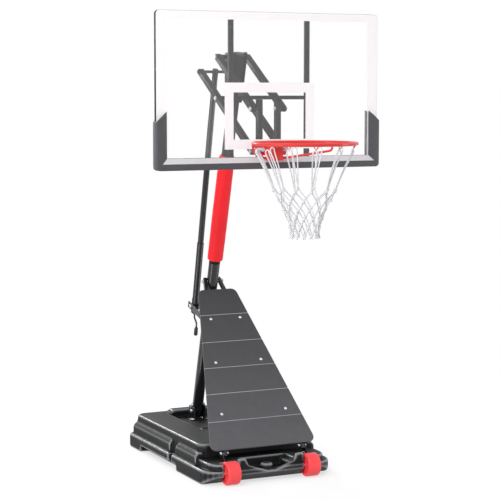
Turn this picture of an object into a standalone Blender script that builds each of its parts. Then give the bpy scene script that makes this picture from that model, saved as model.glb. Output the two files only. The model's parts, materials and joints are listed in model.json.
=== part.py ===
"""Portable basketball hoop: a wheeled ballast tank, a leaning pole on two front struts, and a board that
is lifted on parallel arms by a cranked jack.  Metres, +Z up, the hoop faces -Y, origin on the floor."""

import math

import bmesh
import bpy
from mathutils import Matrix, Vector

# Fits and fasteners
GAP = 0.0003
HOLE_PLAY = 0.0005
PIVOT_RADIUS = 0.006
BOLT_HEAD = 0.0105
BOLT_HEAD_HEIGHT = 0.006
SMALL_BOLT_RADIUS = 0.004
SMALL_BOLT_HEAD = 0.008
SMALL_HEAD_HEIGHT = 0.004
SEAT = 0.001
CUT_REACH = 0.050

# Ballast tank and wheels
TANK_WIDTH = 0.674
TANK_FRONT = -0.556
TANK_REAR = 0.485
TANK_TOP = 0.165
TOE_CORNER = 0.090
HEEL_CORNER = 0.050
TANK_LEDGE = 0.008
TANK_SINK = 0.010
SKIRT_HEIGHT = 0.070
DECK_WIDTH = 0.584
DECK_FRONT = -0.365
DECK_FLARE = 0.014
DECK_CORNER = 0.045
DECK_RIM = 0.020
DECK_LINE_WIDTH = 0.008
DECK_LINE_DEPTH = 0.004
SHOULDER_OVER = 0.028
SHOULDER_WIDTH = DECK_WIDTH + 2 * SHOULDER_OVER
SHOULDER_FOOT = 0.078
SHOULDER_EDGE = 0.112
SHOULDER_TOP = 0.130
SHOULDER_BEVEL = 0.016
SHOULDER_RUNS = ((-0.372, -0.128), (-0.052, 0.440))
GROOVE_FRONT = -0.112
GROOVE_REAR = -0.072
GROOVE_DEPTH = 0.020
SHELF_TOP = 0.100
SHELF_WIDTH = 0.610
SHELF_CORNER = 0.075
SADDLE_TOP = 0.180
SADDLE_WIDTH = 0.230
SADDLE_LAP = 0.050
SADDLE_INSET = 0.020
SADDLE_BEVEL = 0.008
LIP_TOP = 0.122
LIP_THICKNESS = 0.016
LIP_OUTER = 0.176
LIP_SHOULDER = 0.132
LIP_STEP = 0.118
LIP_STEP_HEIGHT = 0.086
LIP_FLAT = 0.022
LIP_LOW = 0.056
WELL_WIDTH = 0.200
WELL_REAR = -0.440
WELL_FLOOR = 0.050
WELL_BOSS_RADIUS = 0.030
WELL_BOSS_TOP = 0.078
WELL_BOSS_Y = -0.492
SCALLOP_FRONT = -0.170
SCALLOP_REAR = 0.300
SCALLOP_DEPTH = 0.045
SCALLOP_HEIGHT = 0.030
RECESS_WIDTH = 0.270
RECESS_FRONT = -0.060
RECESS_REAR = 0.405
RECESS_FLOOR = 0.140
TOE_RISE = 0.045
TOE_LENGTH = 0.080
TOE_CUT_LENGTH = 0.300
TOE_CUT_DEPTH = 0.200
WHEEL_RADIUS = 0.0555
WHEEL_WIDTH = 0.065
WHEEL_TRACK = 0.421
WHEEL_Y = -0.542
WHEEL_LIFT = 0.002
WHEEL_ROOM = 0.008
WHEEL_HUB = 0.015
WHEEL_DISH = 0.008
WHEEL_DRAFT = 0.001
WHEEL_TREAD = 0.018
WHEEL_CHAMFER = 0.006
AXLE_RADIUS = 0.006
AXLE_SEAT = 0.025
CAP_RADIUS = 0.029
CAP_PLUG_RADIUS = 0.021
CAP_PLUG_DEPTH = 0.018
CAP_HEIGHT = 0.012
CAP_CHAMFER = 0.003
CAP_BAR_REACH = 0.020
CAP_BAR_HALF = 0.004
CAP_BAR_HEIGHT = 0.006
CAP_X = -0.085
CAP_Y = 0.030

# Pole
POLE_LEAN = math.radians(15.79)
POLE_ROOT_Y = 0.3876
POLE_RADIUS = 0.0285
POLE_WALL = 0.0025
POLE_START = 0.162
JOINT_ABOVE_STRUTS = 0.100
POLE_NECK = 0.120
POLE_ABOVE_PIVOT = 0.0088
POLE_CAP_HEIGHT = 0.010
POLE_CAP_CHAMFER = 0.006
POLE_CAP_PLUG = 0.020
PAD_ABOVE_JOINT = 0.014
PAD_LENGTH = 0.557
PAD_THICKNESS = 0.0115
PAD_LIP = 0.005
FOOT_PLATE = 0.004
FOOT_HEIGHT = 0.070
FOOT_FLANGE = 0.022
FOOT_LENGTH = 0.110
FOOT_CHEEK_LENGTH = 0.073
FOOT_CORNER = 0.012
FOOT_MIDDLE = 0.035
FOOT_BOLT_RUNS = (0.026, 0.060)

# Front struts and panel
STRUT_SIZE = 0.018
STRUT_TOP_S = 0.920
STRUT_TOP_X = 0.040
STRUT_INSET = 0.076
STRUT_FOOT_Y = -0.460
STRUT_FOOT_Z = 0.135
STRUT_OVERRUN = 0.018
STRUT_HEAD_ROOM = 0.0035
STRUT_FOOT_WIDTH = 0.040
STRUT_FOOT_LENGTH = 0.060
EAR_OVER = 0.014
EAR_ROOM = 0.004
EAR_CORNER = 0.004
PANEL_THICKNESS = 0.010
PANEL_BOTTOM_WIDTH = 0.562
PANEL_TOP_WIDTH = 0.202
PANEL_START = 0.008
PANEL_END = 0.897
PANEL_CORNER = 0.030
PANEL_SEAMS = (0.159, 0.3075, 0.450, 0.594, 0.749)
PANEL_BOLTS = (0.197, 0.479, 0.7255)
SEAM_WIDTH = 0.004
SEAM_DEPTH = 0.002

# Lift arms
HEAD_HEIGHT = 2.012
HEAD_SETBACK = 0.0147
ARM_SPREAD = 0.200
ARM_LENGTH = 0.4664
ARM_DROP = math.radians(32.1)
ARM_TAIL = 0.245
ARM_X = 0.078
ARM_THICKNESS = 0.026
ARM_HEIGHT = 0.029
HEAD_PLATE = 0.004
HEAD_MARGIN = 0.022
HEAD_FRONT_CORNER = 0.012
HEAD_BACK_CORNER = 0.014
HEAD_WEB_DROP = 0.050
HEAD_WEB_RISE = 0.060
BOSS_RADIUS = 0.011

# Jack and crank
JACK_REACH = 0.170
JACK_S = 0.7105
JACK_INNER_RADIUS = 0.0155
JACK_INNER_WALL = 0.002
JACK_EYE = 0.016
JACK_EYE_CHAMFER = 0.004
JACK_OUTER_RADIUS = 0.0178
JACK_PLAY = 0.0005
JACK_STEP = 0.345
JACK_ENGAGE = 0.090
JACK_HOUSING_RADIUS = 0.0200
JACK_HOUSING_TOP = 0.045
JACK_HOUSING_TAIL = 0.042
JACK_HOUSING_CHAMFER = 0.004
JACK_TAIL_CHAMFER = 0.008
JACK_SOCKET_DEPTH = 0.015
JACK_CHEEK = 0.004
JACK_CHEEK_ROOM = 0.002
JACK_CHEEK_HALF = 0.018
JACK_CHEEK_OVER = 0.010
JACK_SLOT_HALF = 0.024
JACK_SLOT_DROP = 0.005
CRANK_RADIUS = 0.0048
CRANK_THROW = 0.060
CRANK_NECK = 0.020
CRANK_RISE = 0.012
CRANK_BEND = 0.008
CRANK_LEG = 0.068
CRANK_HEADING = math.radians(-100)
GRIP_RADIUS = 0.0105
GRIP_NECK = 0.0065
GRIP_LENGTH = 0.044
GRIP_CHAMFER = 0.003
GRIP_CLEAR = 0.002

# Board, measured from the arms' front pivots
BOARD_WIDTH = 1.146
BOARD_HEIGHT = 0.722
BOARD_SHEET = 0.005
BOARD_STANDOFF = 0.025
BOARD_BELOW_PIVOT = 0.276
BOARD_CORNER = 0.018
FRAME_TUBE = 0.022
FRAME_DEPTH = 0.0195
TUBE_CORNER = 0.002
UPRIGHT_X = 0.197
UPRIGHT_WIDTH = 0.023
BRACKET_X = 0.0475
BRACKET_WIDTH = 0.022
BRACKET_DEPTH = 0.034
RAIL_ABOVE_PIVOT = 0.052
RAIL_HEIGHT = 0.018
EDGE_PAD_FACE = 0.052
EDGE_PAD_BOTTOM = 0.055
EDGE_PAD_PROUD = 0.016
EDGE_PAD_RIM = 0.004
EDGE_PAD_LIP = 0.014
EDGE_PAD_OVER = 0.0035
EDGE_PAD_INNER_TOP = 0.265
EDGE_PAD_OUTER_TOP = 0.217
EDGE_PAD_BEVEL = 0.025
EDGE_PAD_CHAMFER = 0.003

# Rim and net
RIM_BELOW_PIVOT = 0.152
RIM_REACH = 0.350
RIM_INNER_RADIUS = 0.225
RIM_BAR_RADIUS = 0.008
RIM_PLATE = 0.004
RIM_PLATE_WIDTH = 0.160
RIM_PLATE_BOTTOM = -0.064
RIM_PLATE_TOP = -0.008
RIM_BOX_WIDTH = 0.074
RIM_BOX_BOTTOM = -0.088
RIM_BOX_REACH = 0.050
RIM_BOX_SETOFF = 0.020
RIM_NECK_PLATE = 0.006
BRACE_RADIUS = 0.0055
BRACE_ANGLE = math.radians(30)
BRACE_DROP = 0.038
BRACE_CORNER_X = 0.050
BRACE_BEND = 0.016
HOOK_RADIUS = 0.0022
HOOK_DROP = 0.012
HOOK_HALF = 0.009
HOOK_INSET = 0.006
HOOK_SINK = 0.0032
HOOK_STEPS = 6
NET_LOOPS = 12
NET_CORD = 0.0055
NET_TUCK = 0.001
NET_LOOP_HALF = 0.0125
NET_KNOT_HALF = 0.005
NET_DROPS = (0.187, 0.229, 0.271, 0.312, 0.352, 0.392)
NET_RADII = (0.142, 0.117, 0.096, 0.079, 0.068, 0.063)
SPRING_X = 0.060
SPRING_Z = -0.036
SPRING_COIL_RADIUS = 0.0075
SPRING_WIRE_RADIUS = 0.0012
SPRING_TURNS = 6
SPRING_STEPS = 9
SPRING_LENGTH = 0.034
SPRING_BOLT_RADIUS = 0.004
SPRING_BOLT_PLAY = 0.004
SPRING_WASHER = 0.010
SPRING_WASHER_HEIGHT = 0.002
SPRING_NUT = 0.0075
SPRING_NUT_HEIGHT = 0.006

# Turned steps and bolt sides
RING_STEPS = 48
ROUND_STEPS = 24
GRIP_STEPS = 16
BOLT_STEPS = 12
BAR_SIDES = 10
ARC_STEPS = 8
CORNER_STEPS = 5
BEND_STEPS = 3
MERGE = 0.00001
SHARP = math.radians(35)

# Where the main points fall
X_AXIS = Vector((1.0, 0.0, 0.0))
Z_AXIS = Vector((0.0, 0.0, 1.0))
POLE_ROOT = Vector((0.0, POLE_ROOT_Y, 0.0))
POLE_UP = Vector((0.0, -math.sin(POLE_LEAN), math.cos(POLE_LEAN)))
POLE_BACK = Vector((0.0, math.cos(POLE_LEAN), math.sin(POLE_LEAN)))
POLE_TOP_Y = POLE_ROOT_Y - math.tan(POLE_LEAN) * (HEAD_HEIGHT - ARM_SPREAD)
PIVOT_Y = POLE_TOP_Y + HEAD_SETBACK
UPPER_PIVOT = Vector((0.0, PIVOT_Y, HEAD_HEIGHT))
LOWER_PIVOT = Vector((0.0, PIVOT_Y, HEAD_HEIGHT - ARM_SPREAD))
ARM_FORWARD = Vector((0.0, -math.cos(ARM_DROP), -math.sin(ARM_DROP)))
UPPER_FRONT = UPPER_PIVOT + ARM_FORWARD * ARM_LENGTH
LOWER_FRONT = LOWER_PIVOT + ARM_FORWARD * ARM_LENGTH
ARM_END = LOWER_PIVOT - ARM_FORWARD * ARM_TAIL
JACK_PIVOT = POLE_ROOT + POLE_UP * JACK_S + POLE_BACK * JACK_REACH
JACK_UP = (ARM_END - JACK_PIVOT).normalized()
JACK_LENGTH = (ARM_END - JACK_PIVOT).length
POLE_JOINT = STRUT_TOP_S + JOINT_ABOVE_STRUTS
POLE_END = (HEAD_HEIGHT + POLE_ABOVE_PIVOT) / math.cos(POLE_LEAN)
PAD_START = POLE_JOINT + PAD_ABOVE_JOINT
STRUT_FOOT_X = PANEL_BOTTOM_WIDTH / 2 - STRUT_INSET
STRUT_TOP = POLE_ROOT + POLE_UP * STRUT_TOP_S + X_AXIS * STRUT_TOP_X
STRUT_FOOT = Vector((STRUT_FOOT_X, STRUT_FOOT_Y, STRUT_FOOT_Z))
SLOPE_RUN = Vector((0.0, STRUT_TOP.y - STRUT_FOOT.y, STRUT_TOP.z - STRUT_FOOT.z))
SLOPE_UP = SLOPE_RUN.normalized()
SLOPE_OUT = X_AXIS.cross(SLOPE_UP)
BOARD_FACE_Y = UPPER_FRONT.y - BOARD_STANDOFF
BOARD_BACK_Y = BOARD_FACE_Y + BOARD_SHEET
FRAME_Y = BOARD_BACK_Y + GAP
BOARD_BOTTOM = UPPER_FRONT.z - BOARD_BELOW_PIVOT
BOARD_TOP = BOARD_BOTTOM + BOARD_HEIGHT
EDGE_PAD_FLOOR = BOARD_BOTTOM - EDGE_PAD_OVER + EDGE_PAD_BOTTOM
RIM_Z = UPPER_FRONT.z - RIM_BELOW_PIVOT
RIM_CENTRE = Vector((0.0, BOARD_FACE_Y - RIM_REACH, RIM_Z))
RIM_RADIUS = RIM_INNER_RADIUS + RIM_BAR_RADIUS
MOUNT_FRONT_Y = BOARD_FACE_Y - GAP - RIM_PLATE
RIM_HINGE = Vector((0.0, MOUNT_FRONT_Y - GAP, RIM_Z + RIM_PLATE_BOTTOM))
WHEEL_Z = WHEEL_RADIUS + WHEEL_LIFT

FINISHES = {
    "tank_plastic": ("26272A", 0.45, 0.0),
    "panel_plastic": ("55565A", 0.55, 0.0),
    "black_steel": ("17181A", 0.30, 0.2),
    "zinc": ("C9CCD0", 0.30, 1.0),
    "clear_acrylic": ("F4F6F8", 0.05, 0.0),
    "grey_pad": ("58565A", 0.60, 0.0),
    "red_foam": ("E02A35", 0.70, 0.0),
    "red_steel": ("DE2C28", 0.35, 0.1),
    "red_wheel": ("D8282C", 0.50, 0.0),
    "black_plastic": ("232427", 0.50, 0.0),
    "nylon": ("F4F4F4", 0.80, 0.0),
}


def start_scene():
    for old in list(bpy.data.objects):
        bpy.data.objects.remove(old)
    made = []
    for name in ("portable_basketball_hoop", "cutters"):
        group = bpy.data.collections.new(name)
        bpy.context.scene.collection.children.link(group)
        made.append(group)
    return made


PARTS, CUTTERS = start_scene()


def finish_material(name):
    made = bpy.data.materials.get(name)
    if made:
        return made
    colour, roughness, metallic = FINISHES[name]
    made = bpy.data.materials.new(name)
    made.use_nodes = True
    shader = made.node_tree.nodes["Principled BSDF"]
    rgb = [int(colour[i : i + 2], 16) / 255 for i in (0, 2, 4)]
    linear = [c / 12.92 if c < 0.04045 else ((c + 0.055) / 1.055) ** 2.4 for c in rgb]
    shader.inputs["Base Color"].default_value = (*linear, 1.0)
    shader.inputs["Roughness"].default_value = roughness
    shader.inputs["Metallic"].default_value = metallic
    return made


def place(name, mesh, finish, matrix=None):
    """A part, or with no finish a cutter, at the matrix given."""
    made = bpy.data.objects.new(name, mesh)
    made.matrix_world = matrix or Matrix()
    if finish:
        mesh.materials.append(finish_material(finish))
        PARTS.objects.link(made)
    else:
        hide(made)
    return made


def hide(made):
    for group in list(made.users_collection):
        group.objects.unlink(made)
    CUTTERS.objects.link(made)
    made.hide_render = True
    made.display_type = "WIRE"


def combine(target, other, operation):
    hide(other)
    step = target.modifiers.new(operation.lower(), "BOOLEAN")
    step.operation = operation
    step.object = other
    step.solver = "EXACT"


def cut(target, other):
    combine(target, other, "DIFFERENCE")


def fuse(target, other):
    combine(target, other, "UNION")


def along(start, direction):
    """The matrix that takes local Z to a direction and the local origin to a point."""
    return Matrix.Translation(start) @ direction.to_track_quat("Z", "Y").to_matrix().to_4x4()


def mesh_of(name, bm):
    mesh = bpy.data.meshes.new(name)
    bm.to_mesh(mesh)
    bm.free()
    shade(mesh)
    return mesh


def shade(mesh):
    """Smooth round sides with crisp edges."""
    mesh.shade_smooth()
    mesh.set_sharp_from_angle(angle=SHARP)


def block(name, finish, low, high, bevel=0.0, matrix=None):
    """A box between two corners, its edges rounded by bevel."""
    bm = bmesh.new()
    bmesh.ops.create_cube(bm, size=1.0)
    size = Vector(high) - Vector(low)
    middle = (Vector(high) + Vector(low)) / 2
    bmesh.ops.transform(bm, matrix=Matrix.Translation(middle) @ Matrix.Diagonal((*size, 1.0)), verts=bm.verts)
    if bevel:
        bmesh.ops.bevel(bm, geom=bm.edges[:], offset=bevel, segments=2, profile=0.5, affect="EDGES")
    return place(name, mesh_of(name, bm), finish, matrix)


def rod(name, finish, start, end, radius, sides=BOLT_STEPS):
    """A solid round bar between two points."""
    bm = bmesh.new()
    run = Vector(end) - Vector(start)
    bmesh.ops.create_cone(
        bm, cap_ends=True, segments=sides, radius1=radius, radius2=radius, depth=run.length
    )
    bmesh.ops.translate(bm, vec=Z_AXIS * run.length / 2, verts=bm.verts)
    return place(name, mesh_of(name, bm), finish, along(Vector(start), run.normalized()))


def drill(target, start, end, radius, sides=BOLT_STEPS):
    name = f"drill_{target.name}_{len(target.modifiers)}"
    cut(target, rod(name, None, start, end, radius + HOLE_PLAY, sides))


def turned(name, finish, profile, start, direction, steps=ROUND_STEPS, closed=False):
    """A turned piece: radius and height pairs that run down the outside, from the axis or round a ring."""
    bm = bmesh.new()
    points = [bm.verts.new((radius, 0.0, height)) for radius, height in profile]
    for first, second in zip(points, points[1:]):
        bm.edges.new((first, second))
    if closed:
        bm.edges.new((points[-1], points[0]))
    made = place(name, mesh_of(name, bm), finish, along(Vector(start), Vector(direction)))
    screw = made.modifiers.new("turn", "SCREW")
    screw.steps = steps
    screw.render_steps = steps
    screw.use_merge_vertices = True
    screw.merge_threshold = MERGE
    screw.use_smooth_shade = True
    return made


def bolt(name, start, end, radius=PIVOT_RADIUS, head=BOLT_HEAD, height=BOLT_HEAD_HEIGHT, finish="zinc"):
    """A bolt with a head before the start point and a nut after the end point."""
    run = Vector(end) - Vector(start)
    length = run.length
    profile = (
        (0.0, length + height),
        (head, length + height),
        (head, length),
        (radius, length),
        (radius, 0.0),
        (head, 0.0),
        (head, -height),
        (0.0, -height),
    )
    return turned(name, finish, profile, start, run.normalized(), BOLT_STEPS)


def rounded(points, radii, arc_steps=CORNER_STEPS):
    """An outline with each corner turned into an arc of its radius."""
    made = []
    count = len(points)
    for i, (point, radius) in enumerate(zip(points, radii)):
        here = Vector(point)
        if not radius:
            made.append(here)
            continue
        before = (Vector(points[i - 1]) - here).normalized()
        after = (Vector(points[(i + 1) % count]) - here).normalized()
        half = before.angle(after) / 2
        middle = here + (before + after).normalized() * (radius / math.sin(half))
        first = here + before * (radius / math.tan(half)) - middle
        last = here + after * (radius / math.tan(half)) - middle
        for k in range(arc_steps + 1):
            spoke = first.slerp(last, k / arc_steps).normalized()
            made.append(middle + spoke * radius)
    return made


def evaluated_mesh(made):
    """A curve's own mesh, with its caps welded on; the curve itself is removed."""
    bpy.context.view_layer.update()
    graph = bpy.context.evaluated_depsgraph_get()
    mesh = bpy.data.meshes.new_from_object(made.evaluated_get(graph))
    bm = bmesh.new()
    bm.from_mesh(mesh)
    bmesh.ops.remove_doubles(bm, verts=bm.verts, dist=MERGE)
    bmesh.ops.recalc_face_normals(bm, faces=bm.faces)
    bm.to_mesh(mesh)
    bm.free()
    shade(mesh)
    bpy.data.objects.remove(made)
    return mesh


def plate(name, finish, outline, thickness, matrix):
    """A flat outline, thick along local Z and centred on it."""
    curve = bpy.data.curves.new(name, "CURVE")
    curve.dimensions = "2D"
    curve.fill_mode = "BOTH"
    curve.extrude = thickness / 2
    spline = curve.splines.new("POLY")
    spline.points.add(len(outline) - 1)
    for point, spot in zip(spline.points, outline):
        point.co = (spot[0], spot[1], 0.0, 1.0)
    spline.use_cyclic_u = True
    made = bpy.data.objects.new(name + "_outline", curve)
    CUTTERS.objects.link(made)
    mesh = evaluated_mesh(made)
    mesh.materials.clear()
    return place(name, mesh, finish, matrix)


def wire(name, finish, points, radius, resolution=1):
    """A round wire through the points, with closed ends."""
    curve = bpy.data.curves.new(name, "CURVE")
    curve.dimensions = "3D"
    curve.bevel_depth = radius
    curve.bevel_resolution = resolution
    curve.use_fill_caps = True
    spline = curve.splines.new("POLY")
    spline.points.add(len(points) - 1)
    for point, spot in zip(spline.points, points):
        point.co = (*spot, 1.0)
    made = bpy.data.objects.new(name + "_route", curve)
    CUTTERS.objects.link(made)
    mesh = evaluated_mesh(made)
    mesh.materials.clear()
    return place(name, mesh, finish)


def facing(middle, across, up):
    """The matrix of a flat outline: its local X, Y and Z lie across, up and along their cross product."""
    out = across.cross(up)
    turn = Matrix((across, up, out)).transposed().to_4x4()
    return Matrix.Translation(middle) @ turn


def side_plate(name, finish, outline, x_low, x_high):
    """A plate that stands in a Y-Z plane, its outline given as Y and Z."""
    middle = Vector(((x_low + x_high) / 2, 0.0, 0.0))
    return plate(name, finish, outline, abs(x_high - x_low), facing(middle, Vector((0, 1, 0)), Z_AXIS))


def flat_plate(name, finish, outline, z_low, z_high):
    """A plate that lies level, its outline given as X and Y."""
    middle = Z_AXIS * (z_low + z_high) / 2
    return plate(name, finish, outline, z_high - z_low, facing(middle, X_AXIS, Vector((0, 1, 0))))


def front_plate(name, finish, outline, y_low, y_high):
    """A plate that faces -Y, its outline given as X and Z."""
    middle = Vector((0.0, (y_low + y_high) / 2, 0.0))
    return plate(name, finish, outline, y_high - y_low, facing(middle, X_AXIS, Z_AXIS))


def rectangle(low_x, high_x, low_y, high_y):
    return [(low_x, low_y), (high_x, low_y), (high_x, high_y), (low_x, high_y)]


def sides():
    return (("left", -1), ("right", 1))


def pole_point(run, back=0.0):
    return POLE_ROOT + POLE_UP * run + POLE_BACK * back


def make_tank():
    half = TANK_WIDTH / 2
    corners = (TOE_CORNER, TOE_CORNER, HEEL_CORNER, HEEL_CORNER)
    outline = rounded(rectangle(-half, half, TANK_FRONT, TANK_REAR), corners)
    tank = flat_plate("base_tank", "tank_plastic", outline, 0.0, SKIRT_HEIGHT)
    fuse(tank, deck())
    cut(tank, deck_line())
    shelf_half = SHELF_WIDTH / 2
    shelf_corners = rectangle(-shelf_half, shelf_half, TANK_FRONT + TANK_LEDGE, DECK_FRONT + CUT_REACH)
    shelf_outline = rounded(shelf_corners, (SHELF_CORNER, SHELF_CORNER, 0.0, 0.0))
    fuse(tank, flat_plate("shelf", None, shelf_outline, SKIRT_HEIGHT - TANK_SINK - SEAT, SHELF_TOP))
    saddle_low = (-SADDLE_WIDTH / 2, RECESS_REAR - SADDLE_LAP, RECESS_FLOOR - SADDLE_INSET)
    saddle_high = (SADDLE_WIDTH / 2, TANK_REAR - SADDLE_INSET, SADDLE_TOP)
    fuse(tank, block("saddle", None, saddle_low, saddle_high, SADDLE_BEVEL))
    shape_sides(tank)
    shape_front(tank)
    recess_low = (-RECESS_WIDTH / 2, RECESS_FRONT, RECESS_FLOOR)
    recess_high = (RECESS_WIDTH / 2, RECESS_REAR, SADDLE_TOP + CUT_REACH)
    cut(tank, block("recess", None, recess_low, recess_high))
    toe_slope = math.atan2(TOE_RISE, TOE_LENGTH)
    toe_matrix = Matrix.Translation((0.0, TANK_FRONT + TOE_LENGTH, 0.0)) @ Matrix.Rotation(-toe_slope, 4, "X")
    toe_low = (-half - CUT_REACH, -TOE_CUT_LENGTH, -TOE_CUT_DEPTH)
    cut(tank, block("toe", None, toe_low, (half + CUT_REACH, 0.0, 0.0), matrix=toe_matrix))
    for side, sign in sides():
        low_x, high_x = sorted((sign * (half - SCALLOP_DEPTH), sign * (half + CUT_REACH)))
        scallop_low = (low_x, SCALLOP_FRONT, -CUT_REACH)
        cut(tank, block(f"scallop_{side}", None, scallop_low, (high_x, SCALLOP_REAR, SCALLOP_HEIGHT)))
        inner = WHEEL_TRACK / 2 - WHEEL_WIDTH / 2 - WHEEL_ROOM / 2
        outer = WHEEL_TRACK / 2 + WHEEL_WIDTH / 2 + WHEEL_ROOM / 2
        start = (sign * inner, WHEEL_Y, WHEEL_Z)
        end = (sign * outer, WHEEL_Y, WHEEL_Z)
        cut(tank, rod(f"arch_{side}", None, start, end, WHEEL_RADIUS + WHEEL_ROOM, ROUND_STEPS))
        drill(tank, *axle_ends(sign, HOLE_PLAY), AXLE_RADIUS)
    plug_bottom = Vector((CAP_X, CAP_Y, RECESS_FLOOR - CAP_PLUG_DEPTH - HOLE_PLAY))
    drill(tank, plug_bottom, Vector((CAP_X, CAP_Y, TANK_TOP)), CAP_PLUG_RADIUS, ROUND_STEPS)


def deck_line():
    """The shallow groove that runs round the deck, inside its rounded rim."""
    half = DECK_WIDTH / 2
    low = TANK_TOP - DECK_LINE_DEPTH
    rings = []
    for name, inset in (("deck_line", DECK_RIM), ("deck_field", DECK_RIM + DECK_LINE_WIDTH)):
        corners = rectangle(
            inset - half, half - inset, DECK_FRONT + inset, TANK_REAR - TANK_LEDGE - inset
        )
        rings.append(flat_plate(name, None, rounded(corners, [DECK_CORNER - inset] * 4), low, SADDLE_TOP))
        low -= TANK_SINK
    cut(*rings)
    return rings[0]


def shape_sides(tank):
    """Two shoulders along each side under the deck, with a groove in the skirt between them."""
    inner = DECK_WIDTH / 2 - TANK_SINK
    outer = SHOULDER_WIDTH / 2
    for side, sign in sides():
        outline = [
            (sign * inner, SHOULDER_FOOT - TANK_SINK),
            (sign * outer, SHOULDER_FOOT - TANK_SINK),
            (sign * outer, SHOULDER_EDGE),
            (sign * (outer - SHOULDER_BEVEL), SHOULDER_TOP),
            (sign * inner, SHOULDER_TOP),
        ]
        for n, (front, rear) in enumerate(SHOULDER_RUNS):
            fuse(tank, front_plate(f"shoulder_{side}_{n}", None, outline, front, rear))
        edge = TANK_WIDTH / 2
        low_x, high_x = sorted((sign * (edge - GROOVE_DEPTH), sign * (edge + CUT_REACH)))
        groove_low = (low_x, GROOVE_FRONT, -CUT_REACH)
        cut(tank, block(f"groove_{side}", None, groove_low, (high_x, GROOVE_REAR, TANK_TOP)))


def shape_front(tank):
    """The front lip, high beside the wheels and low in the middle, and the well with its boss behind it."""
    slope = [(LIP_OUTER, LIP_TOP), (LIP_SHOULDER, LIP_TOP), (LIP_STEP, LIP_STEP_HEIGHT), (LIP_FLAT, LIP_LOW)]
    dip = [(-x, z) for x, z in slope] + slope[::-1]
    above = [(x, z - SEAT) for x, z in dip[1:-1]] + [(LIP_SHOULDER, SADDLE_TOP), (-LIP_SHOULDER, SADDLE_TOP)]
    cut(tank, front_plate("dip", None, above, TANK_FRONT - CUT_REACH, WELL_REAR))
    lip_front = TANK_FRONT + TANK_LEDGE + SEAT
    lip_rear = lip_front + LIP_THICKNESS
    half = WELL_WIDTH / 2
    well_low = (-half, lip_rear - SEAT, WELL_FLOOR)
    cut(tank, block("well", None, well_low, (half, WELL_REAR - SEAT, SADDLE_TOP)))
    foot = SKIRT_HEIGHT - TANK_SINK * 2
    lip_outline = [(-LIP_OUTER, foot), *dip, (LIP_OUTER, foot)]
    fuse(tank, front_plate("lip", None, lip_outline, lip_front, lip_rear))
    boss_foot = (0.0, WELL_BOSS_Y, WELL_FLOOR - TANK_SINK)
    boss_top = (0.0, WELL_BOSS_Y, WELL_BOSS_TOP)
    fuse(tank, rod("well_boss", None, boss_foot, boss_top, WELL_BOSS_RADIUS, ROUND_STEPS))


def deck():
    """The tank's raised deck, which flares out towards the skirt."""
    half = DECK_WIDTH / 2
    foot = half + DECK_FLARE
    corners = rectangle(-foot, foot, DECK_FRONT - DECK_FLARE, TANK_REAR - TANK_LEDGE)
    outline = rounded(corners, (DECK_CORNER, DECK_CORNER, HEEL_CORNER, HEEL_CORNER))
    made = flat_plate("deck", None, outline, SKIRT_HEIGHT - TANK_SINK, TANK_TOP)
    for vertex in made.data.vertices:
        if vertex.co.z > 0:
            vertex.co.x *= half / foot
            vertex.co.y += DECK_FLARE if vertex.co.y < 0 else 0.0
    return made


def axle_ends(sign, extra=0.0):
    reach = WHEEL_WIDTH / 2 + WHEEL_ROOM / 2 + AXLE_SEAT + extra
    middle = WHEEL_TRACK / 2
    start = Vector((sign * (middle - reach), WHEEL_Y, WHEEL_Z))
    return start, Vector((sign * (middle + reach), WHEEL_Y, WHEEL_Z))


def make_wheels():
    bore = AXLE_RADIUS + HOLE_PLAY
    edge = WHEEL_WIDTH / 2
    web = WHEEL_RADIUS - WHEEL_TREAD
    half = [
        (WHEEL_HUB, edge),
        (WHEEL_HUB + WHEEL_DRAFT, edge - WHEEL_DISH),
        (web, edge - WHEEL_DISH),
        (web + WHEEL_DRAFT * 2, edge),
        (WHEEL_RADIUS - WHEEL_CHAMFER, edge),
        (WHEEL_RADIUS, edge - WHEEL_CHAMFER),
    ]
    profile = half + [(radius, -height) for radius, height in reversed(half)] + [(bore, -edge), (bore, edge)]
    for side, sign in sides():
        middle = (sign * WHEEL_TRACK / 2, WHEEL_Y, WHEEL_Z)
        turned(f"wheel_{side}", "red_wheel", profile, middle, X_AXIS, closed=True)
        start, end = axle_ends(sign)
        rod(f"axle_{side}", "zinc", start, end, AXLE_RADIUS)


def make_fill_cap():
    seat = RECESS_FLOOR + GAP
    profile = (
        (0.0, CAP_HEIGHT),
        (CAP_RADIUS - CAP_CHAMFER, CAP_HEIGHT),
        (CAP_RADIUS, CAP_HEIGHT - CAP_CHAMFER),
        (CAP_RADIUS, 0.0),
        (CAP_PLUG_RADIUS, 0.0),
        (CAP_PLUG_RADIUS, -CAP_PLUG_DEPTH),
        (0.0, -CAP_PLUG_DEPTH),
    )
    cap = turned("fill_cap", "black_plastic", profile, (CAP_X, CAP_Y, seat), Z_AXIS)
    bar_top = seat + CAP_HEIGHT + CAP_BAR_HEIGHT
    low = (CAP_X - CAP_BAR_REACH, CAP_Y - CAP_BAR_HALF, seat + CAP_HEIGHT / 2)
    fuse(cap, block("cap_bar", None, low, (CAP_X + CAP_BAR_REACH, CAP_Y + CAP_BAR_HALF, bar_top)))


def foot_bolt_runs():
    return [(level, POLE_START + run) for level, run in zip(("lower", "upper"), FOOT_BOLT_RUNS)]


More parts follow.
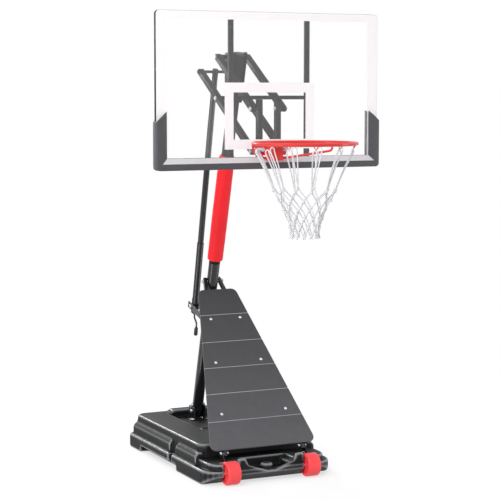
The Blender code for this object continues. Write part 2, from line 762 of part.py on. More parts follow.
def make_pole():
    bore = POLE_RADIUS - POLE_WALL
    neck = bore - GAP
    neck_bore = neck - POLE_WALL
    run = POLE_JOINT - POLE_START
    lower_profile = (
        (neck, run + POLE_NECK),
        (neck, run),
        (POLE_RADIUS, run),
        (POLE_RADIUS, 0.0),
        (neck_bore, 0.0),
        (neck_bore, run + POLE_NECK),
    )
    lower = turned("pole_lower", "black_steel", lower_profile, pole_point(POLE_START), POLE_UP, closed=True)
    upper_run = POLE_END - POLE_JOINT - GAP
    upper_profile = ((POLE_RADIUS, upper_run), (POLE_RADIUS, 0.0), (bore, 0.0), (bore, upper_run))
    upper_start = pole_point(POLE_JOINT + GAP)
    upper = turned("pole_upper", "black_steel", upper_profile, upper_start, POLE_UP, closed=True)
    across = X_AXIS * (POLE_RADIUS * 2)
    drill(upper, LOWER_PIVOT - across, LOWER_PIVOT + across, PIVOT_RADIUS)
    strut_bolt = pole_point(STRUT_TOP_S)
    drill(lower, strut_bolt - across, strut_bolt + across, PIVOT_RADIUS)
    for _, height in foot_bolt_runs():
        drill(lower, pole_point(height) - across, pole_point(height) + across, PIVOT_RADIUS)
    cap_profile = (
        (0.0, POLE_CAP_HEIGHT),
        (POLE_RADIUS - POLE_CAP_CHAMFER, POLE_CAP_HEIGHT),
        (POLE_RADIUS, POLE_CAP_HEIGHT - POLE_CAP_CHAMFER),
        (POLE_RADIUS, 0.0),
        (neck, 0.0),
        (neck, -POLE_CAP_PLUG),
        (0.0, -POLE_CAP_PLUG),
    )
    turned("pole_cap", "black_plastic", cap_profile, pole_point(POLE_END + GAP), POLE_UP)
    outer = POLE_RADIUS + GAP + PAD_THICKNESS
    inner = POLE_RADIUS + GAP
    pad_profile = (
        (outer - PAD_LIP, PAD_LENGTH),
        (outer, PAD_LENGTH - PAD_LIP),
        (outer, PAD_LIP),
        (outer - PAD_LIP, 0.0),
        (inner, 0.0),
        (inner, PAD_LENGTH),
    )
    turned("pole_pad", "red_foam", pad_profile, pole_point(PAD_START), POLE_UP, closed=True)


def make_pole_foot():
    floor = RECESS_FLOOR + GAP
    inner = POLE_RADIUS + GAP
    outer = inner + FOOT_PLATE
    middle = pole_point(POLE_START + FOOT_MIDDLE).y
    low = (-outer - FOOT_FLANGE, middle - FOOT_LENGTH / 2, floor)
    high = (outer + FOOT_FLANGE, middle + FOOT_LENGTH / 2, floor + FOOT_PLATE)
    bracket = block("pole_foot_bracket", "black_steel", low, high)
    for side, sign in sides():
        reach = FOOT_CHEEK_LENGTH / 2
        corners = rectangle(middle - reach, middle + reach, floor + FOOT_PLATE / 2, floor + FOOT_HEIGHT)
        outline = rounded(corners, (0, 0, FOOT_CORNER, FOOT_CORNER))
        fuse(bracket, side_plate(f"foot_cheek_{side}", None, outline, sign * inner, sign * outer))
    for level, height in foot_bolt_runs():
        spot = pole_point(height)
        reach = X_AXIS * (outer + GAP)
        past = reach + X_AXIS * FOOT_FLANGE
        drill(bracket, spot - past, spot + past, PIVOT_RADIUS)
        bolt(f"foot_bolt_{level}", spot - reach, spot + reach)


def strut_line(sign):
    top = Vector((sign * STRUT_TOP.x, STRUT_TOP.y, STRUT_TOP.z))
    foot = Vector((sign * STRUT_FOOT.x, STRUT_FOOT.y, STRUT_FOOT.z))
    return top, foot


def panel_bolt_spot(sign, share):
    top, foot = strut_line(sign)
    rise = share / SLOPE_RUN.length
    return foot.lerp(top, rise)


def make_struts():
    half = STRUT_SIZE / 2
    for side, sign in sides():
        top, foot = strut_line(sign)
        run = (top - foot).normalized()
        middle = (top + foot) / 2
        reach = (top - foot).length / 2 + STRUT_OVERRUN
        across = SLOPE_OUT.cross(run).normalized()
        matrix = facing(middle, across, run)
        low = (-half, -reach, -half)
        high = (half, reach, half)
        strut = block(f"front_strut_{side}", "black_steel", low, high, TUBE_CORNER, matrix)
        wide = X_AXIS * STRUT_SIZE * 2
        drill(strut, top - wide, top + wide, PIVOT_RADIUS)
        drill(strut, foot - wide, foot + wide, PIVOT_RADIUS)
        for share in PANEL_BOLTS:
            spot = panel_bolt_spot(sign, share)
            through = SLOPE_OUT * STRUT_SIZE * 2
            drill(strut, spot - through, spot + through, SMALL_BOLT_RADIUS)
        make_strut_foot(side, sign, foot)
    spot = pole_point(STRUT_TOP_S)
    reach = X_AXIS * (STRUT_TOP_X + half + STRUT_HEAD_ROOM)
    bolt("strut_top_bolt", spot - reach, spot + reach)


def make_strut_foot(side, sign, foot):
    floor = SHELF_TOP + GAP
    thick = FOOT_PLATE
    ear = STRUT_SIZE / 2 + EAR_ROOM
    inner = abs(foot.x) + ear
    low_x, high_x = sorted((sign * (inner + thick - STRUT_FOOT_WIDTH), sign * (inner + thick)))
    bracket = block(
        f"strut_foot_{side}",
        "black_steel",
        (low_x, foot.y - STRUT_FOOT_LENGTH / 2, floor),
        (high_x, foot.y + STRUT_FOOT_LENGTH / 2, floor + thick),
    )
    front = foot + SLOPE_OUT * (STRUT_SIZE / 2 - GAP)
    root = floor + thick / 2
    front_root = front - SLOPE_UP * ((front.z - root) / SLOPE_UP.z)
    front_top = front + SLOPE_UP * EAR_OVER
    back_top = foot - SLOPE_OUT * EAR_OVER + SLOPE_UP * EAR_OVER
    corners = [(front_root.y, root), (back_top.y, root), (back_top.y, back_top.z), (front_top.y, front_top.z)]
    outline = rounded(corners, (0, 0, EAR_CORNER, EAR_CORNER))
    low_x, high_x = sorted((sign * inner, sign * (inner + thick)))
    fuse(bracket, side_plate(f"strut_ear_{side}", None, outline, low_x, high_x))
    reach = X_AXIS * (ear + thick + GAP) * sign
    back = X_AXIS * (STRUT_SIZE / 2 + STRUT_HEAD_ROOM) * sign
    drill(bracket, foot, foot + reach + X_AXIS * sign * ear, PIVOT_RADIUS)
    bolt(f"strut_foot_bolt_{side}", foot - back, foot + reach, head=SMALL_BOLT_HEAD)


def make_panel():
    lift = STRUT_SIZE / 2 + GAP + PANEL_THICKNESS / 2
    origin = Vector((0.0, STRUT_FOOT.y, STRUT_FOOT.z)) + SLOPE_OUT * lift
    wide = PANEL_BOTTOM_WIDTH / 2
    narrow = PANEL_TOP_WIDTH / 2
    corners = [(-wide, PANEL_START), (wide, PANEL_START), (narrow, PANEL_END), (-narrow, PANEL_END)]
    outline = rounded(corners, [PANEL_CORNER] * 4)
    panel = plate("front_panel", "panel_plastic", outline, PANEL_THICKNESS, facing(origin, X_AXIS, SLOPE_UP))
    face = PANEL_THICKNESS / 2
    for n, seam in enumerate(PANEL_SEAMS):
        low = (-wide, seam - SEAM_WIDTH / 2, face - SEAM_DEPTH)
        high = (wide, seam + SEAM_WIDTH / 2, face + SEAM_DEPTH)
        cut(panel, block(f"seam_{n}", None, low, high, matrix=facing(origin, X_AXIS, SLOPE_UP)))
    number = 0
    for _, sign in sides():
        for share in PANEL_BOLTS:
            number += 1
            spot = panel_bolt_spot(sign, share)
            inside = spot - SLOPE_OUT * (STRUT_SIZE / 2 + GAP)
            outside = spot + SLOPE_OUT * (STRUT_SIZE / 2 + PANEL_THICKNESS + GAP * 2)
            drill(panel, inside, outside + SLOPE_OUT * PANEL_THICKNESS, SMALL_BOLT_RADIUS)
            sizes = (SMALL_BOLT_RADIUS, SMALL_BOLT_HEAD, SMALL_HEAD_HEIGHT)
            bolt(f"panel_bolt_{number}", inside, outside, *sizes)


def stadium(start, end, radius):
    """The Y and Z outline of a bar with round ends about two points."""
    first = Vector((start.y, start.z))
    last = Vector((end.y, end.z))
    run = (last - first).normalized()
    heading = math.atan2(run.y, run.x)
    outline = []
    for centre, turn in ((last, -math.pi / 2), (first, math.pi / 2)):
        for k in range(ARC_STEPS + 1):
            angle = heading + turn + math.pi * k / ARC_STEPS
            outline.append(centre + Vector((math.cos(angle), math.sin(angle))) * radius)
    return outline


def make_arms():
    half = ARM_THICKNESS / 2
    for level, spots in (
        ("upper", (UPPER_PIVOT, UPPER_FRONT)),
        ("lower", (ARM_END, LOWER_PIVOT, LOWER_FRONT)),
    ):
        for side, sign in sides():
            low_x, high_x = sorted((sign * (ARM_X - half), sign * (ARM_X + half)))
            outline = stadium(spots[0], spots[-1], ARM_HEIGHT / 2)
            arm = side_plate(f"{level}_arm_{side}", "black_steel", outline, low_x, high_x)
            reach = X_AXIS * ARM_X * 2
            for spot in spots:
                drill(arm, spot - reach, spot + reach, PIVOT_RADIUS)
    reach = X_AXIS * (ARM_X + half + GAP)
    for level, spot in (("upper", UPPER_PIVOT), ("lower", LOWER_PIVOT)):
        bolt(f"{level}_pivot_bolt", spot - reach, spot + reach)
    bolt("lift_crossbar", ARM_END - reach, ARM_END + reach, finish="black_steel")


def make_head_bracket():
    inner = POLE_RADIUS + GAP
    outer = inner + HEAD_PLATE
    top = UPPER_PIVOT.z + HEAD_MARGIN
    bottom = LOWER_PIVOT.z - HEAD_MARGIN
    back = PIVOT_Y + HEAD_MARGIN
    top_front = POLE_ROOT_Y - math.tan(POLE_LEAN) * top - POLE_RADIUS
    bottom_front = POLE_ROOT_Y - math.tan(POLE_LEAN) * bottom - POLE_RADIUS
    corners = [(bottom_front, bottom), (back, bottom), (back, top), (top_front, top)]
    radii = (HEAD_FRONT_CORNER, HEAD_BACK_CORNER, HEAD_BACK_CORNER, HEAD_FRONT_CORNER)
    outline = rounded(corners, radii)
    bracket = side_plate("head_bracket", "black_steel", outline, -outer, -inner)
    fuse(bracket, side_plate("head_cheek", None, outline, inner, outer))
    middle = (UPPER_PIVOT.z + LOWER_PIVOT.z) / 2
    web_low = (-inner - SEAT, back - HEAD_PLATE, middle - HEAD_WEB_DROP)
    web_high = (inner + SEAT, back - SEAT / 2, middle + HEAD_WEB_RISE)
    fuse(bracket, block("head_web", None, web_low, web_high))
    arm_face = ARM_X - ARM_THICKNESS / 2 - GAP
    for level, spot in (("upper", UPPER_PIVOT), ("lower", LOWER_PIVOT)):
        for side, sign in sides():
            start = spot + X_AXIS * sign * (outer - SEAT)
            end = spot + X_AXIS * sign * arm_face
            fuse(bracket, rod(f"boss_{level}_{side}", None, start, end, BOSS_RADIUS))
        drill(bracket, spot - X_AXIS * ARM_X, spot + X_AXIS * ARM_X, PIVOT_RADIUS)


def make_jack():
    bore = JACK_INNER_RADIUS + JACK_PLAY
    inner_bottom = JACK_STEP - JACK_ENGAGE
    inner_bore = JACK_INNER_RADIUS - JACK_INNER_WALL
    top = JACK_LENGTH - inner_bottom
    bore_top = top - JACK_EYE * 2
    inner_profile = (
        (0.0, top + JACK_EYE),
        (JACK_INNER_RADIUS - JACK_EYE_CHAMFER, top + JACK_EYE),
        (JACK_INNER_RADIUS, top + JACK_EYE - JACK_EYE_CHAMFER),
        (JACK_INNER_RADIUS, 0.0),
        (inner_bore, 0.0),
        (inner_bore, bore_top),
        (0.0, bore_top),
    )
    inner_start = JACK_PIVOT + JACK_UP * inner_bottom
    inner = turned("jack_inner_tube", "black_steel", inner_profile, inner_start, JACK_UP)
    reach = X_AXIS * JACK_INNER_RADIUS * 2
    drill(inner, ARM_END - reach, ARM_END + reach, PIVOT_RADIUS)
    outer_profile = (
        (JACK_OUTER_RADIUS, JACK_STEP),
        (JACK_OUTER_RADIUS, JACK_HOUSING_TOP),
        (JACK_HOUSING_RADIUS, JACK_HOUSING_TOP - JACK_HOUSING_CHAMFER),
        (JACK_HOUSING_RADIUS, JACK_TAIL_CHAMFER - JACK_HOUSING_TAIL),
        (JACK_HOUSING_RADIUS - JACK_TAIL_CHAMFER, -JACK_HOUSING_TAIL),
        (0.0, -JACK_HOUSING_TAIL),
    )
    socket = JACK_HOUSING_TOP - JACK_SOCKET_DEPTH
    hollow = ((0.0, socket), (bore, socket), (bore, JACK_STEP))
    outer = turned("jack_outer_tube", "black_steel", hollow + outer_profile, JACK_PIVOT, JACK_UP)
    outer_reach = X_AXIS * (JACK_HOUSING_RADIUS * 2)
    drill(outer, JACK_PIVOT - outer_reach, JACK_PIVOT + outer_reach, PIVOT_RADIUS)
    cheek = JACK_HOUSING_RADIUS + JACK_CHEEK_ROOM
    bolt_reach = X_AXIS * (cheek + JACK_CHEEK + GAP)
    bolt("jack_pivot_bolt", JACK_PIVOT - bolt_reach, JACK_PIVOT + bolt_reach)
    make_jack_bracket(cheek)
    make_crank()


def make_jack_bracket(cheek):
    """Two slotted cheeks on a web behind the pole, which the jack's pin slides in as the arms swing."""
    back = POLE_RADIUS + GAP
    matrix = facing(pole_point(JACK_S), POLE_BACK, POLE_UP)
    half = JACK_CHEEK_HALF
    wide = cheek + JACK_CHEEK
    low = (back, -half, -wide)
    bracket = block("jack_bracket", "black_steel", low, (back + JACK_CHEEK, half, wide), matrix=matrix)
    far = JACK_REACH + JACK_SLOT_HALF + JACK_CHEEK_OVER
    for side, sign in sides():
        low_z, high_z = sorted((sign * cheek, sign * wide))
        plate_low = (back + SEAT, -half + SEAT, low_z)
        plate_high = (far, half - SEAT, high_z)
        fuse(bracket, block(f"jack_cheek_{side}", None, plate_low, plate_high, matrix=matrix))
    slot = facing(JACK_PIVOT, X_AXIS.cross(JACK_UP), JACK_UP)
    slot_low = (-JACK_SLOT_HALF, -PIVOT_RADIUS - JACK_SLOT_DROP, -wide * 2)
    slot_high = (JACK_SLOT_HALF, PIVOT_RADIUS + GAP, wide * 2)
    cut(bracket, block("jack_slot", None, slot_low, slot_high, matrix=slot))


def make_crank():
    """A bent crank under the jack and the loose grip on its leg."""
    start = JACK_PIVOT - JACK_UP * (JACK_HOUSING_TAIL + GAP)
    heading = Vector((math.cos(CRANK_HEADING), math.sin(CRANK_HEADING), 0.0))
    throw = (heading - JACK_UP * heading.dot(JACK_UP)).normalized() * CRANK_THROW
    corner = start - JACK_UP * CRANK_NECK
    elbow = corner + throw - JACK_UP * CRANK_RISE
    across = (elbow - corner).normalized() * CRANK_BEND
    route = [
        start,
        corner + JACK_UP * CRANK_BEND,
        corner + across,
        elbow - across,
        elbow - JACK_UP * CRANK_BEND,
        elbow - JACK_UP * CRANK_LEG,
    ]
    wire("crank_rod", "black_steel", route, CRANK_RADIUS, 2)
    grip_bore = CRANK_RADIUS + HOLE_PLAY
    grip_profile = (
        (GRIP_NECK, GRIP_LENGTH),
        (GRIP_NECK + GRIP_CHAMFER, GRIP_LENGTH - GRIP_CHAMFER),
        (GRIP_RADIUS, GRIP_CHAMFER * 2),
        (GRIP_RADIUS - GRIP_CHAMFER, 0.0),
        (grip_bore, 0.0),
        (grip_bore, GRIP_LENGTH),
    )
    grip_start = elbow - JACK_UP * (CRANK_LEG - GRIP_CLEAR)
    turned("crank_grip", "black_plastic", grip_profile, grip_start, JACK_UP, GRIP_STEPS, closed=True)


def make_board():
    half = BOARD_WIDTH / 2
    low, high = BOARD_BOTTOM, BOARD_TOP
    outline = rounded(rectangle(-half, half, low, high), [BOARD_CORNER] * 4)
    front_plate("board_sheet", "clear_acrylic", outline, BOARD_FACE_Y, BOARD_BACK_Y)
    frame = front_plate("board_frame", "black_steel", outline, FRAME_Y, FRAME_Y + FRAME_DEPTH)
    opening_low = (-half + FRAME_TUBE, FRAME_Y - FRAME_DEPTH, low + FRAME_TUBE)
    opening_high = (half - FRAME_TUBE, FRAME_Y + FRAME_DEPTH * 2, high - FRAME_TUBE)
    cut(frame, block("frame_opening", None, opening_low, opening_high))
    inside_low = low + FRAME_TUBE + GAP
    inside_high = high - FRAME_TUBE - GAP
    frame_back = FRAME_Y + FRAME_DEPTH
    rail_z = UPPER_FRONT.z + RAIL_ABOVE_PIVOT
    for side, sign in sides():
        low_x = sign * UPRIGHT_X - UPRIGHT_WIDTH / 2
        high_x = sign * UPRIGHT_X + UPRIGHT_WIDTH / 2
        upright_low = (low_x, FRAME_Y, inside_low)
        upright_high = (high_x, frame_back, inside_high)
        block(f"board_upright_{side}", "black_steel", upright_low, upright_high, TUBE_CORNER)
        low_x = sign * BRACKET_X - BRACKET_WIDTH / 2
        high_x = sign * BRACKET_X + BRACKET_WIDTH / 2
        bracket_high = (high_x, FRAME_Y + BRACKET_DEPTH, rail_z - RAIL_HEIGHT / 2 - GAP)
        bracket_low = (low_x, FRAME_Y, EDGE_PAD_FLOOR + GAP)
        bracket = block(f"arm_bracket_{side}", "black_steel", bracket_low, bracket_high, TUBE_CORNER)
        for level, spot in (("upper", UPPER_FRONT), ("lower", LOWER_FRONT)):
            start = spot + X_AXIS * sign * (BRACKET_X - BRACKET_WIDTH / 2 - GAP)
            end = spot + X_AXIS * sign * (ARM_X + ARM_THICKNESS / 2 + GAP)
            drill(bracket, start - X_AXIS * sign * BRACKET_WIDTH, end, PIVOT_RADIUS)
            bolt(f"{level}_front_bolt_{side}", start, end)
    reach = UPRIGHT_X - UPRIGHT_WIDTH / 2 - GAP
    rail_low = (-reach, FRAME_Y, rail_z - RAIL_HEIGHT / 2)
    rail_high = (reach, frame_back, rail_z + RAIL_HEIGHT / 2)
    block("board_rail", "black_steel", rail_low, rail_high, TUBE_CORNER)


def edge_pad_outline(inner_in, outer_in):
    """The pad's U, with its inner edges set in and its outer edges set in by so much."""
    outer = BOARD_WIDTH / 2 + EDGE_PAD_OVER
    inner = outer - EDGE_PAD_FACE
    outer_top = BOARD_BOTTOM + EDGE_PAD_OUTER_TOP
    slant = (EDGE_PAD_INNER_TOP - EDGE_PAD_OUTER_TOP) / EDGE_PAD_FACE
    bottom = BOARD_BOTTOM - EDGE_PAD_OVER + outer_in
    floor = EDGE_PAD_FLOOR - inner_in
    outside = outer - outer_in
    inside = inner + inner_in
    outside_top = outer_top + slant * outer_in
    inside_top = outer_top + slant * (outer - inside)
    corners = [
        (-outside, bottom),
        (outside, bottom),
        (outside, outside_top),
        (inside, inside_top),
        (inside, floor),
        (-inside, floor),
        (-inside, inside_top),
        (-outside, outside_top),
    ]
    return rounded(corners, (BOARD_CORNER, BOARD_CORNER, 0, 0, 0, 0, 0, 0))


def make_edge_pad():
    """The moulded pad that wraps the board's lower corners and bottom edge, its face bevelled inwards."""
    front = BOARD_FACE_Y - EDGE_PAD_PROUD
    step = BOARD_FACE_Y - EDGE_PAD_RIM
    frame_back = FRAME_Y + FRAME_DEPTH
    outline = edge_pad_outline(0.0, 0.0)
    pad = front_plate("edge_pad", "grey_pad", outline, step, frame_back + EDGE_PAD_LIP)
    face = front_plate("pad_face", None, outline, front, step + GAP)
    taper(face, outline, edge_pad_outline(EDGE_PAD_BEVEL, EDGE_PAD_CHAMFER))
    fuse(pad, face)
    half = BOARD_WIDTH / 2 + GAP
    corner = BOARD_CORNER + GAP
    slot_outline = rounded(rectangle(-half, half, BOARD_BOTTOM - GAP, BOARD_TOP), (corner, corner, 0, 0))
    cut(pad, front_plate("pad_slot", None, slot_outline, BOARD_FACE_Y - GAP, frame_back + GAP))


def taper(made, outline, end_outline):
    """Moves the corners of a plate's far face to another outline with as many points."""
    for vertex in made.data.vertices:
        if vertex.co.z > 0:
            spot = vertex.co.xy
            nearest = min(range(len(outline)), key=lambda k: (Vector(outline[k]) - spot).length)
            vertex.co.x, vertex.co.y = end_outline[nearest]


def make_rim():
    flange_front = MOUNT_FRONT_Y - GAP - RIM_PLATE
    half = RIM_PLATE_WIDTH / 2
    low_z = RIM_Z + RIM_PLATE_BOTTOM
    high_z = RIM_Z + RIM_PLATE_TOP
    mount = block(
        "rim_mount", "red_steel", (-half, MOUNT_FRONT_Y, low_z), (half, BOARD_FACE_Y - GAP, high_z)
    )
    ring = turned("rim", "red_steel", ring_profile(), RIM_CENTRE, Z_AXIS, RING_STEPS, closed=True)
    flange = block("rim_flange", None, (-half, flange_front, low_z), (half, MOUNT_FRONT_Y - GAP, high_z))
    box_half = RIM_BOX_WIDTH / 2
    box_low = (-box_half, flange_front - RIM_BOX_REACH, RIM_Z + RIM_BOX_BOTTOM)
    box_high = (box_half, flange_front - RIM_BOX_SETOFF, high_z - RIM_PLATE / 2)
    fuse(ring, block("rim_box", None, box_low, box_high))
    tongue_low = (-box_half, flange_front - RIM_BOX_SETOFF - RIM_PLATE, low_z + RIM_PLATE)
    tongue_high = (box_half, flange_front + RIM_PLATE / 2, high_z - RIM_PLATE)
    fuse(ring, block("rim_tongue", None, tongue_low, tongue_high))
    fuse(ring, flange)
    neck_back = flange_front - RIM_BOX_REACH + RIM_NECK_PLATE
    neck_front = RIM_CENTRE.y + RIM_RADIUS
    neck_half = box_half - RIM_NECK_PLATE
    neck_top = RIM_Z - RIM_NECK_PLATE
    neck_low = (-neck_half, neck_front, neck_top - RIM_NECK_PLATE)
    fuse(ring, block("rim_neck", None, neck_low, (neck_half, neck_back, neck_top)))
    fuse(ring, brace(flange_front - (RIM_BOX_SETOFF + RIM_BOX_REACH) / 2))
    for n in range(NET_LOOPS):
        fuse(ring, hook(n))
    for side, sign in sides():
        spot = Vector((sign * SPRING_X, 0.0, RIM_Z + SPRING_Z))
        make_spring(side, spot, flange_front)
        for piece in (ring, mount):
            start = spot + Vector((0.0, flange_front - RIM_PLATE, 0.0))
            play = SPRING_BOLT_PLAY if piece is ring else 0.0
            drill(piece, start, spot + Vector((0.0, BOARD_FACE_Y, 0.0)), SPRING_BOLT_RADIUS + play)


def ring_profile():
    outline = []
    for k in range(BAR_SIDES):
        angle = math.pi / 2 - math.tau * k / BAR_SIDES
        outline.append((RIM_RADIUS + RIM_BAR_RADIUS * math.cos(angle), RIM_BAR_RADIUS * math.sin(angle)))
    return outline


def brace(back):
    """A bent bar that passes under the rim's box and turns up into the ring on both sides."""
    out = Vector((math.cos(BRACE_ANGLE), math.sin(BRACE_ANGLE), 0.0)) * RIM_RADIUS
    corner_z = RIM_Z + RIM_BOX_BOTTOM + BRACE_RADIUS * 2
    right = [
        RIM_CENTRE + out,
        RIM_CENTRE + out - Z_AXIS * BRACE_DROP,
        Vector((BRACE_CORNER_X, back, corner_z)),
    ]
    left = [Vector((-spot.x, spot.y, spot.z)) for spot in right]
    radii = (0, BRACE_BEND, BRACE_BEND)
    route = rounded(right + left[::-1], radii + radii[::-1], BEND_STEPS)
    return wire("brace", None, route, BRACE_RADIUS, 2)


def hook_angle(n):
    return math.tau * (n + 0.5) / NET_LOOPS


def hook(n):
    """One of the small wire loops under the ring that hold the net."""
    angle = hook_angle(n)
    out = Vector((math.cos(angle), math.sin(angle), 0.0))
    along_ring = Vector((-math.sin(angle), math.cos(angle), 0.0))
    top = RIM_CENTRE + out * RIM_RADIUS - Z_AXIS * (RIM_BAR_RADIUS - HOOK_SINK)
    route = []
    for k in range(HOOK_STEPS + 1):
        swing = math.pi * k / HOOK_STEPS
        drop = math.sin(swing) * (HOOK_DROP + HOOK_SINK - HOOK_RADIUS)
        inward = out * math.sin(swing) * HOOK_INSET
        route.append(top + along_ring * math.cos(swing) * HOOK_HALF - inward - Z_AXIS * drop)
    return wire(f"hook_{n}", None, route, HOOK_RADIUS)


def spring_points(spot, start_y):
    """The coil's centre line, along -Y from the rim's flange."""
    points = []
    count = SPRING_TURNS * SPRING_STEPS
    for k in range(count + 1):
        angle = math.tau * k / SPRING_STEPS
        run = SPRING_WIRE_RADIUS + (SPRING_LENGTH - SPRING_WIRE_RADIUS * 2) * k / count
        around = Vector((math.cos(angle), 0.0, math.sin(angle))) * SPRING_COIL_RADIUS
        points.append(spot + around + Vector((0.0, start_y - run, 0.0)))
    return points


def least_gap(points):
    """The least clear space between one turn's wire and the next."""
    past = SPRING_STEPS // 2 + 1
    nearest = min((a - b).length for i, a in enumerate(points) for b in points[i + past :])
    return nearest - SPRING_WIRE_RADIUS * 2


def make_spring(side, spot, flange_front):
    points = spring_points(spot, flange_front - GAP)
    print(f"rim_spring_{side} least gap {least_gap(points) * 1000:.2f} mm")
    wire(f"rim_spring_{side}", "zinc", points, SPRING_WIRE_RADIUS, 1)
    washer = flange_front - 2 * GAP - SPRING_LENGTH
    start = spot + Vector((0.0, washer, 0.0))
    end = spot + Vector((0.0, BOARD_FACE_Y - GAP, 0.0))
    profile_end = (end - start).length
    profile = (
        (0.0, profile_end),
        (SPRING_BOLT_RADIUS, profile_end),
        (SPRING_BOLT_RADIUS, 0.0),
        (SPRING_WASHER, 0.0),
        (SPRING_WASHER, -SPRING_WASHER_HEIGHT),
        (SPRING_NUT, -SPRING_WASHER_HEIGHT),
        (SPRING_NUT, -SPRING_WASHER_HEIGHT - SPRING_NUT_HEIGHT),
        (0.0, -SPRING_WASHER_HEIGHT - SPRING_NUT_HEIGHT),
    )
    turned(f"spring_bolt_{side}", "zinc", profile, start, Vector((0.0, 1.0, 0.0)), BOLT_STEPS)


def net_row(bm, level, drop, radius, offset=0.0):
    """A round of knots, each turned on by an offset along the ring, between the hooks at odd levels."""
    top = RIM_BAR_RADIUS + HOOK_DROP + NET_CORD / 2 - NET_TUCK + GAP
    row = []
    for n in range(NET_LOOPS):
        angle = hook_angle(n + level % 2 / 2)
        out = Vector((math.cos(angle), math.sin(angle), 0.0))
        on = Vector((-math.sin(angle), math.cos(angle), 0.0))
        row.append(bm.verts.new(RIM_CENTRE + out * radius + on * offset - Z_AXIS * (top + drop)))
    return row


def make_net():
    """The knotted net: a long loop of cord from each hook, then diamond meshes down to the open bottom."""
    bm = bmesh.new()
    top_radius = RIM_RADIUS - HOOK_INSET
    loop_starts = net_row(bm, 0, 0.0, top_radius, -NET_LOOP_HALF)
    loop_ends = net_row(bm, 0, 0.0, top_radius, NET_LOOP_HALF)
    knot_starts = net_row(bm, 0, NET_DROPS[0], NET_RADII[0], -NET_KNOT_HALF)
    knot_ends = net_row(bm, 0, NET_DROPS[0], NET_RADII[0], NET_KNOT_HALF)
    pairs = list(zip(NET_DROPS, NET_RADII))
    rows = [net_row(bm, level, *pair) for level, pair in enumerate(pairs) if level]
    for n in range(NET_LOOPS):
        bm.faces.new((loop_starts[n], knot_starts[n], knot_ends[n], loop_ends[n]))
        bm.faces.new((knot_starts[n], rows[0][n - 1], rows[1][n], rows[0][n], knot_ends[n]))
    for level in range(len(rows) - 2):
        shift = level % 2
        for n in range(NET_LOOPS):
            left = rows[level + 1][n - shift]
            right = rows[level + 1][(n + 1 - shift) % NET_LOOPS]
            bm.faces.new((rows[level][n], left, rows[level + 2][n], right))
    net = place("net", mesh_of("net", bm), "nylon")
    cords = net.modifiers.new("cords", "WIREFRAME")
    cords.thickness = NET_CORD
    cords.use_boundary = True
    cords.use_even_offset = False


def hang(name, spot, names, parent=None):
    """An empty on a joint's axis that carries the pieces that move about it."""
    pivot = bpy.data.objects.new(name, None)
    pivot.matrix_world = Matrix.Translation(spot)
    PARTS.objects.link(pivot)
    carried = [bpy.data.objects[piece] for piece in names]
    for piece in carried:
        piece.parent = pivot
        piece.matrix_parent_inverse = Matrix.Translation(-spot)
    if parent:
        pivot.parent = parent
        pivot.matrix_parent_inverse = parent.matrix_basis.inverted()
    return pivot


def both(*names):
    return [f"{name}_{side}" for name in names for side, _ in sides()]


def hang_moving_pieces():
    lift = hang("lift_pivot", UPPER_PIVOT, both("upper_arm"))
    board_names = ["board_sheet", "board_frame", "board_rail", "edge_pad", "rim_mount"]
    board_names += both("board_upright", "arm_bracket", "upper_front_bolt", "lower_front_bolt")
    board_names += both("rim_spring", "spring_bolt")
    board = hang("board_pivot", UPPER_FRONT, board_names, lift)
    hang("rim_pivot", RIM_HINGE, ["rim", "net"], board)
    lower = hang("lower_arm_pivot", LOWER_PIVOT, both("lower_arm") + ["lift_crossbar"])
    jack = hang("jack_top_pivot", ARM_END, ["jack_inner_tube"], lower)
    slide = hang("jack_slide", JACK_PIVOT, ["jack_outer_tube", "jack_pivot_bolt", "crank_grip"], jack)
    hang("crank_axis", JACK_PIVOT - JACK_UP * JACK_HOUSING_TAIL, ["crank_rod"], slide)


def main():
    make_tank()
    make_wheels()
    make_fill_cap()
    make_pole()
    make_pole_foot()
    make_struts()
    make_panel()
    make_arms()
    make_head_bracket()
    make_jack()
    make_board()
    make_edge_pad()
    make_rim()
    make_net()
    hang_moving_pieces()


main()
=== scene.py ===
import json
import math

import bmesh
import bpy
from mathutils import Matrix, Vector, noise

